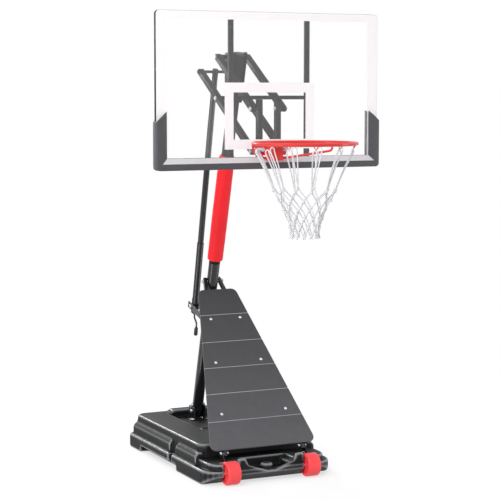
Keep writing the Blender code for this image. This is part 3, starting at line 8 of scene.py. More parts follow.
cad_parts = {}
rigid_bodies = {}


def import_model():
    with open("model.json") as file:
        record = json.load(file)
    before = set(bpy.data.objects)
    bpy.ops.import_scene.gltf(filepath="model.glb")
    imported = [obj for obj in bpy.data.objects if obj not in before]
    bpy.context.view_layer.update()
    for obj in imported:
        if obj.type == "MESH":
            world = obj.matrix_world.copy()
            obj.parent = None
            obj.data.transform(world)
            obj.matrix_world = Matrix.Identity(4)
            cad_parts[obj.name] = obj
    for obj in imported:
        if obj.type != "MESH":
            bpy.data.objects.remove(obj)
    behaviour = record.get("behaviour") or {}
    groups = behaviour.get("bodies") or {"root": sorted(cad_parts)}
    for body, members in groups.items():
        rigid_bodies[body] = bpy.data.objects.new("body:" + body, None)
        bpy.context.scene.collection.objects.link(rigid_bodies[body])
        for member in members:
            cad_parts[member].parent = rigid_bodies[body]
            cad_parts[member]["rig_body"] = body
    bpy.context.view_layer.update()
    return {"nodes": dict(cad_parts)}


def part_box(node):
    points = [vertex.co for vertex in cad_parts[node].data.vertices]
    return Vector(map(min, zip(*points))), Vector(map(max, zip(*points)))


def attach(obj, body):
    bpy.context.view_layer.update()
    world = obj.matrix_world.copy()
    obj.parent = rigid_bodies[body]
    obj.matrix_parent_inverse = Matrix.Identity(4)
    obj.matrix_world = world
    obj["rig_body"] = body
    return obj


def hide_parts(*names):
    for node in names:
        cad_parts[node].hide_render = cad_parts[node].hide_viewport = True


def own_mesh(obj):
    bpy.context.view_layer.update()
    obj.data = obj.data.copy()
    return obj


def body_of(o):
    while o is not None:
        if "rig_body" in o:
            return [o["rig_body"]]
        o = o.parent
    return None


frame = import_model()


# Camera: stands where the photograph was taken, in front of the hoop, to its left and a little above the rim.
# Its place, turn and lens are fitted to the board's corners, the rim's ellipse and the base.
CAMERA_PLACE = (-3.321, -7.293, 1.841)
CAMERA_YAW = math.radians(25.43)
CAMERA_PITCH = math.radians(5.60)
CAMERA_LENS = 115.9
CAMERA_SENSOR = 36.0

scene = bpy.context.scene
lens = bpy.data.cameras.new("camera")
lens.lens = CAMERA_LENS
lens.sensor_width = CAMERA_SENSOR
camera = bpy.data.objects.new("camera", lens)
camera.location = CAMERA_PLACE
camera.rotation_euler = (math.pi / 2 - CAMERA_PITCH, 0.0, -CAMERA_YAW)
scene.collection.objects.link(camera)
scene.camera = camera
scene.view_settings.view_transform = "Standard"


# Studio: a white room with a soft key lamp at the upper left and a lamp behind. Tall strips at the sides draw
# the long highlights down the tubes, and two narrow strips on the floor light the tank's sides from below.
# The floor is a disc of white paper that keeps the shadow near the base and fades out into the white.
ROOM_LOW = 0.28
ROOM_HIGH = 0.80
ROOM_LOW_HEADING = -0.2
ROOM_HIGH_HEADING = 0.9
FLOOR_RADIUS = 3.0
FLOOR_STEPS = 96
FLOOR_SOLID = 0.9
FLOOR_WHITE = 0.65
LAMP_AIM = Vector((0.0, -0.2, 1.0))
LAMPS = (
    ("key", (-3.4, -4.2, 4.6), (1.5, 1.5), 195.0),
    ("left_strip", (-4.2, -1.4, 1.4), (0.9, 3.0), 60.0),
    ("right_strip", (3.9, -2.4, 1.3), (0.7, 3.0), 50.0),
    ("back", (-0.5, 4.4, 2.7), (1.5, 1.5), 135.0),
)
FLOOR_STRIPS = (
    ("left_floor_strip", (-1.5, 0.25, 0.01), (2.0, 0.10), 3.4),
    ("right_floor_strip", (1.0, -1.5, 0.01), (2.0, 0.10), 3.4),
)


def linear(code):
    """A written sRGB colour as the linear values that a shader takes."""
    parts = [int(code[i : i + 2], 16) / 255 for i in (0, 2, 4)]
    return [*(c / 12.92 if c <= 0.04045 else ((c + 0.055) / 1.055) ** 2.4 for c in parts), 1.0]


def add(tree, kind, inputs, **settings):
    """A node of a kind, with its settings, and with each input given a value or linked to a socket.

    Sockets that share a name go by number. On a Mix node 0 is the share, 2 and 3 are plain values, 6 and 7
    are colours, and output 2 is the mixed colour.
    """
    made = tree.nodes.new("ShaderNode" + kind)
    for name, value in settings.items():
        setattr(made, name, value)
    for name, value in inputs.items():
        if isinstance(value, bpy.types.NodeSocket):
            tree.links.new(value, made.inputs[name])
        else:
            made.inputs[name].default_value = value
    return made


def background_rays(tree):
    """One for a ray that shows the background: straight to the camera, through glass or in a mirror."""
    path = add(tree, "LightPath", {})
    seen = path.outputs["Is Camera Ray"]
    for other in ("Is Transmission Ray", "Is Glossy Ray"):
        seen = add(tree, "Math", {0: seen, 1: path.outputs[other]}, operation="MAXIMUM").outputs[0]
    return seen


def area_lamp(name, place, size, power, turn):
    """A flat soft lamp with its size in metres, its power in watts and its turn."""
    light = bpy.data.lights.new(name, "AREA")
    light.shape = "RECTANGLE"
    light.size, light.size_y = size
    light.energy = power
    lamp = bpy.data.objects.new(name, light)
    lamp.location = place
    lamp.rotation_euler = turn
    scene.collection.objects.link(lamp)
    return lamp


room = bpy.data.worlds.new("white_room")
scene.world = room
room.use_nodes = True
tree = room.node_tree
tree.nodes.clear()
heading = add(tree, "SeparateXYZ", {"Vector": add(tree, "TexCoord", {}).outputs["Generated"]})
glow = add(
    tree,
    "MapRange",
    {
        "Value": heading.outputs["Z"],
        "From Min": ROOM_LOW_HEADING,
        "From Max": ROOM_HIGH_HEADING,
        "To Min": ROOM_LOW,
        "To Max": ROOM_HIGH,
    },
)
strength = add(tree, "Mix", {0: background_rays(tree), 2: glow.outputs[0], 3: 1.0})
sky = add(tree, "Background", {"Color": linear("FFFFFF"), "Strength": strength.outputs[0]})
add(tree, "OutputWorld", {"Surface": sky.outputs[0]})

# White floor paper: matt and all but white, so that only the soft shadow shows on it.
paper = bpy.data.materials.new("white_floor_paper")
paper.use_nodes = True
tree = paper.node_tree
tree.nodes.clear()
spot = add(tree, "TexCoord", {}).outputs["Object"]
away = add(tree, "VectorMath", {0: spot}, operation="LENGTH")
fade = add(
    tree,
    "MapRange",
    {"Value": away.outputs["Value"], "From Min": FLOOR_SOLID, "From Max": FLOOR_RADIUS},
    interpolation_type="SMOOTHSTEP",
)
matt = add(tree, "BsdfDiffuse", {"Color": linear("F3F3F3")})
white = add(tree, "Emission", {"Color": linear("FFFFFF"), "Strength": 1.0})
share = add(tree, "Math", {0: background_rays(tree), 1: FLOOR_WHITE}, operation="MULTIPLY")
lit = add(tree, "MixShader", {0: share.outputs[0], 1: matt.outputs[0], 2: white.outputs[0]})
clear = add(tree, "BsdfTransparent", {})
mixed = add(tree, "MixShader", {0: fade.outputs[0], 1: lit.outputs[0], 2: clear.outputs[0]})
add(tree, "OutputMaterial", {"Surface": mixed.outputs[0]})

bm = bmesh.new()
bmesh.ops.create_circle(bm, cap_ends=True, segments=FLOOR_STEPS, radius=FLOOR_RADIUS)
mesh = bpy.data.meshes.new("studio_floor")
bm.to_mesh(mesh)
bm.free()
mesh.materials.append(paper)
floor = bpy.data.objects.new("studio_floor", mesh)
scene.collection.objects.link(floor)

for name, place, size, power in LAMPS:
    area_lamp(name, place, size, power, (LAMP_AIM - Vector(place)).to_track_quat("-Z", "Y").to_euler())
for name, place, size, power in FLOOR_STRIPS:
    strip = area_lamp(name, place, size, power, (math.pi, 0.0, math.atan2(place[1], place[0])))
    strip.visible_camera = False


# Ballast tank: the hollow base that is filled with water or sand, blow-moulded in black polyethylene.
# Every edge is rounded as the blown skin leaves it, and the skin has a fine sanded grain.
TANK_VOXEL = 0.004
TANK_SMOOTHING = 24
TANK_SMOOTH_SHARE = 0.5
WELD_GAP = 0.00002
MOTTLE = 40
MOTTLE_DETAIL = 4.0
# The skin's bend, 0.5 where it is flat, at which the painted highlight and gloss on a ridge,
# or the painted shade in a hollow, starts and is full.
RIDGE_BEND = (0.504, 0.526)
HOLLOW_BEND = (0.497, 0.468)
# Painted highlight on the ridges and painted shade in the hollows.
RIDGE_HIGHLIGHT_COLOUR = "7C7D81"
HOLLOW_SHADE_COLOUR = "060607"
RIDGE_ROUGH = 0.22


def finish(name, colours, grain, relief, rough, pattern="TexNoise", metallic=0.0, specular=0.5):
    """A surface of two close colours with a grain of that size and relief in metres.

    From the camera the grain is finer than a pixel, so the colours and the gloss are also mottled in patches
    many grains wide, coarse enough to show.
    """
    made = bpy.data.materials.new(name)
    made.use_nodes = True
    tree = made.node_tree
    tree.nodes.clear()
    spot = add(tree, "TexCoord", {}).outputs["Object"]
    patches = add(tree, "TexNoise", {"Vector": spot, "Scale": 1 / (grain * MOTTLE), "Detail": MOTTLE_DETAIL})
    colour = add(
        tree,
        "Mix",
        {0: patches.outputs[0], 6: linear(colours[0]), 7: linear(colours[1])},
        data_type="RGBA",
    )
    fine = add(tree, pattern, {"Vector": spot, "Scale": 1 / grain})
    dull = add(tree, "MapRange", {"Value": patches.outputs[0], "To Min": rough[0], "To Max": rough[1]})
    bump = add(tree, "Bump", {"Height": fine.outputs[0], "Distance": relief})
    shader = add(
        tree,
        "BsdfPrincipled",
        {
            "Base Color": colour.outputs[2],
            "Roughness": dull.outputs[0],
            "Normal": bump.outputs[0],
            "Metallic": metallic,
            "Specular IOR Level": specular,
        },
    )
    add(tree, "OutputMaterial", {"Surface": shader.outputs[0]})
    return made


def show(name, mesh, material, body, slot, *nodes):
    """A finished piece that rides on a body and stands for the nodes named."""
    mesh.materials.clear()
    mesh.materials.append(material)
    mesh.shade_smooth()
    made = bpy.data.objects.new(name, mesh)
    scene.collection.objects.link(made)
    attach(made, body)
    if nodes:
        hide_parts(*nodes)
    return made


def modify(made, kind, **settings):
    """Adds a step of a kind to a piece's mesh, with its settings."""
    step = made.modifiers.new(kind.lower(), kind)
    for name, value in settings.items():
        setattr(step, name, value)


# Black polyethylene: near black and satin, with a sanded grain of 0.8 mm. The ridges are glossier and
# painted paler as a highlight, and the hollows are painted dark as shade.
polyethylene = finish(
    "black_polyethylene",
    ("0C0D0E", "131416"),
    grain=0.0008,
    relief=0.00003,
    rough=(0.50, 0.60),
    specular=0.18,
)
tree = polyethylene.node_tree
shader = tree.nodes["Principled BSDF"]
bend = add(tree, "NewGeometry", {}).outputs["Pointiness"]
ridge, hollow = (
    add(tree, "MapRange", {"Value": bend, "From Min": start, "From Max": full}).outputs[0]
    for start, full in (RIDGE_BEND, HOLLOW_BEND)
)
colour = shader.inputs["Base Color"].links[0].from_socket
# Paints a highlight on the ridges and shade in the hollows.
for share, tint in ((ridge, RIDGE_HIGHLIGHT_COLOUR), (hollow, HOLLOW_SHADE_COLOUR)):
    colour = add(tree, "Mix", {0: share, 6: colour, 7: linear(tint)}, data_type="RGBA").outputs[2]
tree.links.new(colour, shader.inputs["Base Color"])
matt = shader.inputs["Roughness"].links[0].from_socket
sheen = add(tree, "Mix", {0: ridge, 2: matt, 3: RIDGE_ROUGH})
tree.links.new(sheen.outputs[0], shader.inputs["Roughness"])

shell = frame["nodes"]["base_tank"].copy()
shell.data = shell.data.copy()
scene.collection.objects.link(shell)
modify(shell, "WELD", merge_threshold=WELD_GAP)
modify(shell, "REMESH", mode="VOXEL", voxel_size=TANK_VOXEL)
modify(shell, "SMOOTH", factor=TANK_SMOOTH_SHARE, iterations=TANK_SMOOTHING)
bpy.context.view_layer.update()
mesh = bpy.data.meshes.new_from_object(shell.evaluated_get(bpy.context.evaluated_depsgraph_get()))
bpy.data.objects.remove(shell)
show("tank_shell", mesh, polyethylene, "base", "tank_plastic", "base_tank")


# Small mouldings: the tank's screw cap, the cap on the pole's top and the crank's grip, all in black plastic.
# They are injection-moulded, and are screwed in, pressed in or slipped on.
EDGE = 0.0008
EDGE_STEPS = 2
CREASE = math.radians(34)


def dress(names, material, edge=EDGE):
    """Carried-over solids take their real finish, small rounded edges and smooth round sides."""
    for name in names:
        made = frame["nodes"][name]
        made.data.materials.clear()
        made.data.materials.append(material)
        made.data.shade_smooth()
        carried = made.data.attributes.get("custom_normal")
        if carried:
            made.data.attributes.remove(carried)
        modify(made, "WELD", merge_threshold=WELD_GAP)
        modify(made, "BEVEL", width=edge, segments=EDGE_STEPS, limit_method="ANGLE", angle_limit=CREASE)
        modify(made, "EDGE_SPLIT", split_angle=CREASE)


# Moulded black plastic: dark, half matt, with a spark-eroded texture of 0.5 mm.
black_plastic = finish(
    "moulded_black_plastic",
    ("202124", "28292C"),
    grain=0.0005,
    relief=0.00005,
    rough=(0.38, 0.5),
)
dress(["fill_cap", "pole_cap", "crank_grip"], black_plastic)


# Wheels: two solid wheels moulded in red polyethylene, each on a plain zinc-plated steel axle.
# The tread is smooth and its edges are rounded; ribs stand in the dish round the hub.
WHEEL_STEPS = 64
WHEEL_ROUND = 0.007
WHEEL_ROUND_STEPS = 5
WHEEL_TREAD = 0.018
WHEEL_HUB = 0.015
HUB_DRAFT = 0.001
AXLE_PLAY = 0.0005
WHEEL_DISH = 0.008
DISH_SLOPE = 0.003
DISH_LIP = 0.005
DISH_LIP_DROP = 0.0005
WHEEL_RIBS = 8
RIB_HALF = 0.0018
RIB_LAP = 0.002
RIB_ROOT = 0.001
RIB_DROP = 0.002
RIB_ROUND = 0.0006
ROUND_PROFILE = 0.5
MERGE_GAP = 0.000005
Z_AXIS = Vector((0.0, 0.0, 1.0))


def lathe(bm, profile, matrix, steps, closed=False):
    """Adds a turned form: pairs of radius and height about the matrix's Z."""
    points = [bm.verts.new(matrix @ Vector((radius, 0.0, height))) for radius, height in profile]
    pairs = list(zip(points, points[1:]))
    if closed:
        pairs.append((points[-1], points[0]))
    edges = [bm.edges.new(pair) for pair in pairs]
    bmesh.ops.spin(
        bm,
        geom=points + edges,
        cent=matrix.translation,
        axis=matrix.to_3x3() @ Z_AXIS,
        angle=math.tau,
        steps=steps,
        use_merge=True,
    )
    bmesh.ops.remove_doubles(bm, verts=bm.verts, dist=MERGE_GAP)


def arc(centre, radius, start, end, steps):
    """Points round part of a circle, angles in degrees."""
    turns = [math.radians(start + (end - start) * k / steps) for k in range(steps + 1)]
    return [(centre[0] + radius * math.cos(t), centre[1] + radius * math.sin(t)) for t in turns]


def mesh_from(name, bm, sharp=CREASE):
    """The form as a mesh with its faces outward and its creases kept."""
    bmesh.ops.recalc_face_normals(bm, faces=bm.faces)
    made = bpy.data.meshes.new(name)
    bm.to_mesh(made)
    bm.free()
    made.shade_smooth()
    made.set_sharp_from_angle(angle=sharp)
    return made


def block(bm, low, high, matrix, edge):
    """Adds a box between two corners, placed by a matrix and with its edges rounded."""
    size = Vector(high) - Vector(low)
    middle = (Vector(high) + Vector(low)) / 2
    place = matrix @ Matrix.Translation(middle) @ Matrix.Diagonal((*size, 1.0))
    corners = bmesh.ops.create_cube(bm, size=1.0, matrix=place)["verts"]
    bmesh.ops.bevel(
        bm,
        geom=list(dict.fromkeys(e for v in corners for e in v.link_edges)),
        offset=edge,
        segments=EDGE_STEPS,
        profile=ROUND_PROFILE,
        affect="EDGES",
    )


# Red polyethylene: bright red, satin, with faint flow marks of a few centimetres.
red_wheel = finish(
    "red_polyethylene",
    ("EC464A", "E23E44"),
    grain=0.0009,
    relief=0.00004,
    rough=(0.36, 0.46),
    specular=0.4,
)
for side in ("left", "right"):
    low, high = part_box(f"wheel_{side}")
    axle_low, axle_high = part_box(f"axle_{side}")
    middle = (low + high) / 2
    edge = (high.x - low.x) / 2
    radius = (high.z - low.z) / 2
    bore = (axle_high.z - axle_low.z) / 2 + AXLE_PLAY
    web = radius - WHEEL_TREAD
    half = [
        (bore, edge),
        (WHEEL_HUB, edge),
        (WHEEL_HUB + HUB_DRAFT, edge - WHEEL_DISH),
        (web, edge - WHEEL_DISH),
        (web + DISH_SLOPE, edge - DISH_LIP_DROP),
        (web + DISH_LIP, edge),
        *arc((radius - WHEEL_ROUND, edge - WHEEL_ROUND), WHEEL_ROUND, 90, 0, WHEEL_ROUND_STEPS),
    ]
    profile = half + [(r, -h) for r, h in reversed(half)]
    axis = Matrix.Translation(middle) @ Matrix.Rotation(math.pi / 2, 4, "Y")
    bm = bmesh.new()
    lathe(bm, profile, axis, WHEEL_STEPS, closed=True)
    for face in (1, -1):
        rib_low, rib_high = sorted((face * (edge - WHEEL_DISH - RIB_ROOT), face * (edge - RIB_DROP)))
        near = (WHEEL_HUB - RIB_LAP, -RIB_HALF, rib_low)
        far = (web + RIB_LAP, RIB_HALF, rib_high)
        for n in range(WHEEL_RIBS):
            block(bm, near, far, axis @ Matrix.Rotation(math.tau * n / WHEEL_RIBS, 4, "Z"), RIB_ROUND)
    name = f"wheel_{side}_moulding"
    show(name, mesh_from(name, bm), red_wheel, f"wheel_{side}", "red_wheel", f"wheel_{side}")

# Zinc plate: bright grey metal with a soft, slightly uneven sheen.
zinc = finish(
    "zinc_plate",
    ("CDD1D6", "BBC0C6"),
    grain=0.0012,
    relief=0.00002,
    rough=(0.34, 0.46),
    metallic=1.0,
)
dress(["axle_left", "axle_right"], zinc)


# Lower steelwork: the lower length of the pole with its foot bracket, the front struts with their feet, and
# the screw jack with its bracket and crank. All are cut, bent and welded steel, powder-coated gloss black.
LOWER_STEELWORK = (
    "pole_lower",
    "pole_foot_bracket",
    "front_strut_left",
    "front_strut_right",
    "strut_foot_left",
    "strut_foot_right",
    "jack_inner_tube",
    "jack_outer_tube",
    "jack_bracket",
    "crank_rod",
)

# Black powder coat: gloss black with a fine orange peel of 1.5 mm that breaks up the highlights.
powder_coat = finish(
    "black_powder_coat",
    ("141517", "1A1B1E"),
    grain=0.0015,
    relief=0.00002,
    rough=(0.16, 0.24),
)
dress(LOWER_STEELWORK, powder_coat)


# Upper steelwork: the upper length of the pole with its head bracket, the four lift arms, and the tubes and
# brackets that carry the sheet. All are welded steel tube and plate, joined by the pivot bolts.
UPPER_STEELWORK = (
    "board_frame",
    "board_upright_left",
    "board_upright_right",
    "board_rail",
    "arm_bracket_left",
    "arm_bracket_right",
    "pole_upper",
    "head_bracket",
    "upper_arm_left",
    "upper_arm_right",
    "lower_arm_left",
    "lower_arm_right",
)

# Matt powder coat: what stands behind the sheet is sprayed flat black, so that it doesn't glare through.
matt_coat = finish(
    "matt_black_powder_coat",
    ("141516", "1A1B1D"),
    grain=0.0015,
    relief=0.00005,
    rough=(0.55, 0.7),
    specular=0.15,
)
dress(UPPER_STEELWORK, matt_coat)


# Cross bolts: zinc-plated flange bolts and lock nuts through the pivots and brackets, each with a hexagon
# head on a round flange. They join the steelwork, and the arms and the jack turn on them.
HEAD_HEIGHT = 0.006
HEAD_CHAMFER = 0.0008
HEAD_LAP = 0.0002
HEX_SIDES = 6
HEX_SHARE = 0.86
SHANK_SHARE = 0.56
FLANGE = 0.0016
FLANGE_ROUND = 0.0004
BOLT_STEPS = 28
BOLT_CREASE = math.radians(28)
SPACER_RADIUS = 0.0075
SPACER_PLAY = 0.0001
X_AXIS = Vector((1.0, 0.0, 0.0))
CROSS_BOLTS = (
    "foot_bolt_lower",
    "foot_bolt_upper",
    "strut_top_bolt",
    "strut_foot_bolt_left",
    "strut_foot_bolt_right",
    "upper_pivot_bolt",
    "lower_pivot_bolt",
    "jack_pivot_bolt",
    "upper_front_bolt_left",
    "upper_front_bolt_right",
    "lower_front_bolt_left",
    "lower_front_bolt_right",
)


def hexagon(bm, matrix, radius, start, end):
    """Adds a hexagon head with a chamfered end, between two heights."""
    turns = [math.tau * k / HEX_SIDES for k in range(HEX_SIDES)]
    rings = []
    for height, width in ((start, radius), (end - HEAD_CHAMFER, radius), (end, radius - HEAD_CHAMFER)):
        spots = [Vector((width * math.cos(t), width * math.sin(t), height)) for t in turns]
        rings.append([bm.verts.new(matrix @ spot) for spot in spots])
    for first, second in zip(rings, rings[1:]):
        for k in range(HEX_SIDES):
            bm.faces.new((first[k - 1], first[k], second[k], second[k - 1]))
    bm.faces.new(rings[0])
    bm.faces.new(rings[-1])


def flange_bolt(node, spacers=()):
    """A bolt across the hoop in its solid's place: shank, flanges, hexagon head, nut and any spacer tubes."""
    low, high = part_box(node)
    size = (high - low) / 2
    head = min(size.y, size.z)
    shank = head * SHANK_SHARE
    seat = size.x - HEAD_HEIGHT
    matrix = Matrix.Translation((low + high) / 2) @ X_AXIS.to_track_quat("Z", "Y").to_matrix().to_4x4()
    bm = bmesh.new()
    lathe(bm, [(0.0, seat), (shank, seat), (shank, -seat), (0.0, -seat)], matrix, BOLT_STEPS)
    for sign in (1, -1):
        inner = sign * (seat - HEAD_LAP)
        outer = sign * (seat + FLANGE)
        flange = [
            (0.0, outer),
            (head - FLANGE_ROUND, outer),
            (head, outer - sign * FLANGE_ROUND),
            (head, inner),
            (0.0, inner),
        ]
        lathe(bm, flange, matrix, BOLT_STEPS)
        turned = matrix if sign > 0 else matrix @ Matrix.Rotation(math.pi, 4, "X")
        hexagon(bm, turned, head * HEX_SHARE, seat + FLANGE - FLANGE_ROUND, size.x - HEAD_LAP)
    bore = shank + SPACER_PLAY
    for start, end in spacers:
        wall = [(bore, start), (SPACER_RADIUS, start), (SPACER_RADIUS, end), (bore, end)]
        lathe(bm, wall, matrix, BOLT_STEPS, closed=True)
    return mesh_from(node + "_steel", bm, BOLT_CREASE)


for node in CROSS_BOLTS:
    body = body_of(frame["nodes"][node])[0]
    show(node + "_steel", flange_bolt(node), zinc, body, "zinc", node)


# Lift crossbar: the black steel shaft through the arms' rear ends, which the jack pushes by its middle.
# A spacer tube on each side keeps the jack centred, and a nut at each end keeps the shaft in.
SPACER_GAP = 0.001
arm_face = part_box("lower_arm_right")[0].x - SPACER_GAP
jack_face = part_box("jack_inner_tube")[1].x + SPACER_GAP
mesh = flange_bolt("lift_crossbar", ((-arm_face, -jack_face), (jack_face, arm_face)))
show("lift_crossbar_steel", mesh, powder_coat, "lower_arms", "black_steel", "lift_crossbar")


# Front panel: a grey plastic sheet bolted over the struts, with pressed fold lines across it.
# The folds carry a painted highlight in a lighter grey, and painted light and shade make the foot
# paler than the top.
PANEL_EDGE = 0.0015
PANEL_RUN = 0.90
FOOT_SHADE = 1.35
TOP_SHADE = 0.72
FOLDS = (0.159, 0.3075, 0.450, 0.594, 0.749)
FOLD_HALF = 0.0018
FOLD_HIGHLIGHT_COLOUR = "9C9CA0"
STRUT_FOOT_Y = -0.460
STRUT_FOOT_Z = 0.135
strut_low, strut_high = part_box("front_strut_left")
slope = Vector((0.0, strut_high.y - strut_low.y, strut_high.z - strut_low.z)).normalized()

# Grey polypropylene: mid grey and matt, with a leathery press grain of 0.9 mm.
polypropylene = finish(
    "grey_polypropylene",
    ("444447", "4C4C4F"),
    grain=0.0009,
    relief=0.00004,
    rough=(0.58, 0.70),
    specular=0.2,
)
tree = polypropylene.node_tree
shader = tree.nodes["Principled BSDF"]
plain = shader.inputs["Base Color"].links[0].from_socket
spot = add(tree, "TexCoord", {}).outputs["Object"]
from_foot = add(
    tree,
    "VectorMath",
    {0: spot, 1: (0.0, STRUT_FOOT_Y, STRUT_FOOT_Z)},
    operation="SUBTRACT",
)
run = add(tree, "VectorMath", {0: from_foot.outputs[0], 1: slope}, operation="DOT_PRODUCT").outputs["Value"]
on_fold = 0.0
# Painted highlight: a thin band of lighter grey along each fold line.
for fold in FOLDS:
    near = add(tree, "Math", {0: run, 1: fold, 2: FOLD_HALF}, operation="COMPARE")
    on_fold = add(tree, "Math", {0: near.outputs[0], 1: on_fold}, operation="ADD").outputs[0]
# Painted light and shade: the grey is lightened towards the foot and darkened towards the top.
shade = add(
    tree,
    "MapRange",
    {"Value": run, "From Max": PANEL_RUN, "To Min": FOOT_SHADE, "To Max": TOP_SHADE},
)
painted_light_gradient = add(tree, "VectorMath", {0: plain, "Scale": shade.outputs[0]}, operation="SCALE")
painted_panel_colour = add(tree, "Mix", {0: on_fold, 6: painted_light_gradient.outputs[0], 7: linear(FOLD_HIGHLIGHT_COLOUR)}, data_type="RGBA")
tree.links.new(painted_panel_colour.outputs[2], shader.inputs["Base Color"])
dress(["front_panel"], polypropylene, PANEL_EDGE)


# Panel bolts: six zinc-plated steel bolts that hold the front panel to the struts.
# Each has a low domed head on the panel's face and a hexagon nut behind the strut.
PANEL_BOLTS = 6
DOME_HEIGHT = 0.004
DOME_TURNS = (0.0, 0.35, 0.7, 1.05, 1.4, 1.57)
outward = X_AXIS.cross(slope)
for n in range(1, PANEL_BOLTS + 1):
    node = f"panel_bolt_{n}"
    low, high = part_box(node)
    middle = (low + high) / 2
    head = (high.x - low.x) / 2
    shank = head / 2
    reach = ((high.y - low.y) / 2 - head * abs(outward.z)) / abs(outward.y)
    seat = reach - DOME_HEIGHT
    matrix = Matrix.Translation(middle) @ outward.to_track_quat("Z", "Y").to_matrix().to_4x4()
    dome = [(head * math.sin(t), seat + DOME_HEIGHT * math.cos(t)) for t in DOME_TURNS]
    bm = bmesh.new()
    lathe(bm, [*dome, (shank, seat), (shank, -seat), (0.0, -seat)], matrix, BOLT_STEPS)
    turned = matrix @ Matrix.Rotation(math.pi, 4, "X")
    hexagon(bm, turned, head, seat - HEAD_LAP, reach - HEAD_LAP)
    mesh = mesh_from(node + "_steel", bm, BOLT_CREASE)
    show(node + "_steel", mesh, zinc, body_of(frame["nodes"][node])[0], "zinc", node)


# Pole pad: a foam sleeve in red vinyl that is wrapped round the pole and closed by a seam at the back.
# The foam swells a little between its ends, and the vinyl creases lightly.
PAD_RINGS = 90
PAD_STEPS = 72
PAD_ROUND = 0.006
PAD_SWELL = 0.0012
PAD_FIT = 0.0004
PAD_CREASE = math.radians(50)
WRINKLE_DEPTH = 0.0006
WRINKLE_ROUND = 1.5
WRINKLE_ALONG = 40
SEAM_DEPTH = 0.0022
SEAM_ANGLE = 0.07


def loft(bm, rings, closed=True):
    """Adds faces between rings of points that have equal counts."""
    made = [[bm.verts.new(point) for point in ring] for ring in rings]
    for first, second in zip(made, made[1:]):
        for k in range(0 if closed else 1, len(first)):
            bm.faces.new((first[k - 1], first[k], second[k], second[k - 1]))
    return made


pole_low, pole_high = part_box("pole_upper")
foot_low, foot_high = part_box("pole_lower")
pole_radius = (pole_high.x - pole_low.x) / 2
pad_low, pad_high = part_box("pole_pad")
pad_radius = (pad_high.x - pad_low.x) / 2
lean = math.atan2(foot_high.y - pole_low.y - pole_radius * 2, pole_high.z - foot_low.z)
pole_up = Vector((0.0, -math.sin(lean), math.cos(lean)))
pole_back = Vector((0.0, math.cos(lean), math.sin(lean)))
pad_middle = (pad_low + pad_high) / 2
pad_half = ((pad_high.z - pad_low.z) / 2 - pad_radius * math.sin(lean)) / math.cos(lean)


def pad_spot(along, turn, radius):
    """A point of the pad: a height along the pole, an angle round it and a radius."""
    side = X_AXIS * math.cos(turn) + pole_back * math.sin(turn)
    return pad_middle + pole_up * along + side * radius


turns = [math.tau * n / PAD_STEPS for n in range(PAD_STEPS)]
rings = []
for k in range(PAD_RINGS + 1):
    along = (2 * k / PAD_RINGS - 1) * pad_half
    into_round = max(0.0, PAD_ROUND - (pad_half - abs(along)))
    tuck = PAD_ROUND - math.sqrt(max(0.0, PAD_ROUND**2 - into_round**2))
    swell = PAD_SWELL * (math.cos(math.pi * along / pad_half / 2) - 1)
    ring = []
    for turn in turns:
        from_seam = abs(math.remainder(turn - math.pi / 2, math.tau))
        seam = SEAM_DEPTH * math.exp(-((from_seam / SEAM_ANGLE) ** 2))
        place = Vector(
            (math.cos(turn) * WRINKLE_ROUND, math.sin(turn) * WRINKLE_ROUND, along * WRINKLE_ALONG)
        )
        wrinkle = WRINKLE_DEPTH * noise.noise(place)
        ring.append(pad_spot(along, turn, pad_radius - tuck - seam + wrinkle + swell))
    rings.append(ring)
for along in (pad_half, -pad_half):
    rings.append([pad_spot(along, turn, pole_radius + PAD_FIT) for turn in turns])
bm = bmesh.new()
made = loft(bm, rings)
for k in range(PAD_STEPS):
    bm.faces.new((made[-1][k - 1], made[-1][k], made[0][k], made[0][k - 1]))
mesh = mesh_from("pole_pad_sleeve", bm, PAD_CREASE)

# Red vinyl: strong red with a soft leather grain of 1.4 mm and a dull sheen.
vinyl = finish(
    "red_vinyl",
    ("F2222C", "E91D28"),
    grain=0.0014,
    relief=0.0001,
    rough=(0.42, 0.54),
    pattern="TexVoronoi",
    specular=0.25,
)
sleeve = show("pole_pad_sleeve", mesh, vinyl, "base", "red_foam", "pole_pad")


# Backboard: the clear acrylic sheet that the ball rebounds from.
# It is cut from flat sheet, polished at its edges and screwed to the front of the tube frame.
ACRYLIC_ALPHA = 0.05

# Clear acrylic: lets the steel behind show through a faint milky glare.
acrylic = finish(
    "clear_acrylic",
    ("FFFFFF", "FAFBFC"),
    grain=0.004,
    relief=0.0,
    rough=(0.06, 0.10),
)
acrylic.node_tree.nodes["Principled BSDF"].inputs["Alpha"].default_value = ACRYLIC_ALPHA
dress(["board_sheet"], acrylic)


# Board print: the white border and the shooter's target, bands of ink with square inner corners.
# They are screen-printed on the back of the sheet, where the ball can't scuff them.
INK = 0.0002
INK_GAP = 0.00004
PRINT_CORNER = 0.001
CORNER_STEPS = 6
BORDER_CORNER = 0.017
BORDER_INSET = 0.001
BORDER_INNER_X = 0.519
BORDER_INNER_TOP = 2.173
BORDER_INNER_BOTTOM = 1.522
TARGET_HALF = 0.232
TARGET_BOTTOM = 1.577
TARGET_TOP = 1.885
TARGET_BAND = 0.045
board_low, board_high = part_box("board_sheet")


def rounded_box(half, low, high, radius):
    """Points round an upright box with round corners, as X and Z."""
    spots = []
    for x, z, start in (
        (half - radius, low + radius, -90),
        (half - radius, high - radius, 0),
        (radius - half, high - radius, 90),
        (radius - half, low + radius, 180),
    ):
        spots += arc((x, z), radius, start, start + 90, CORNER_STEPS)
    return spots


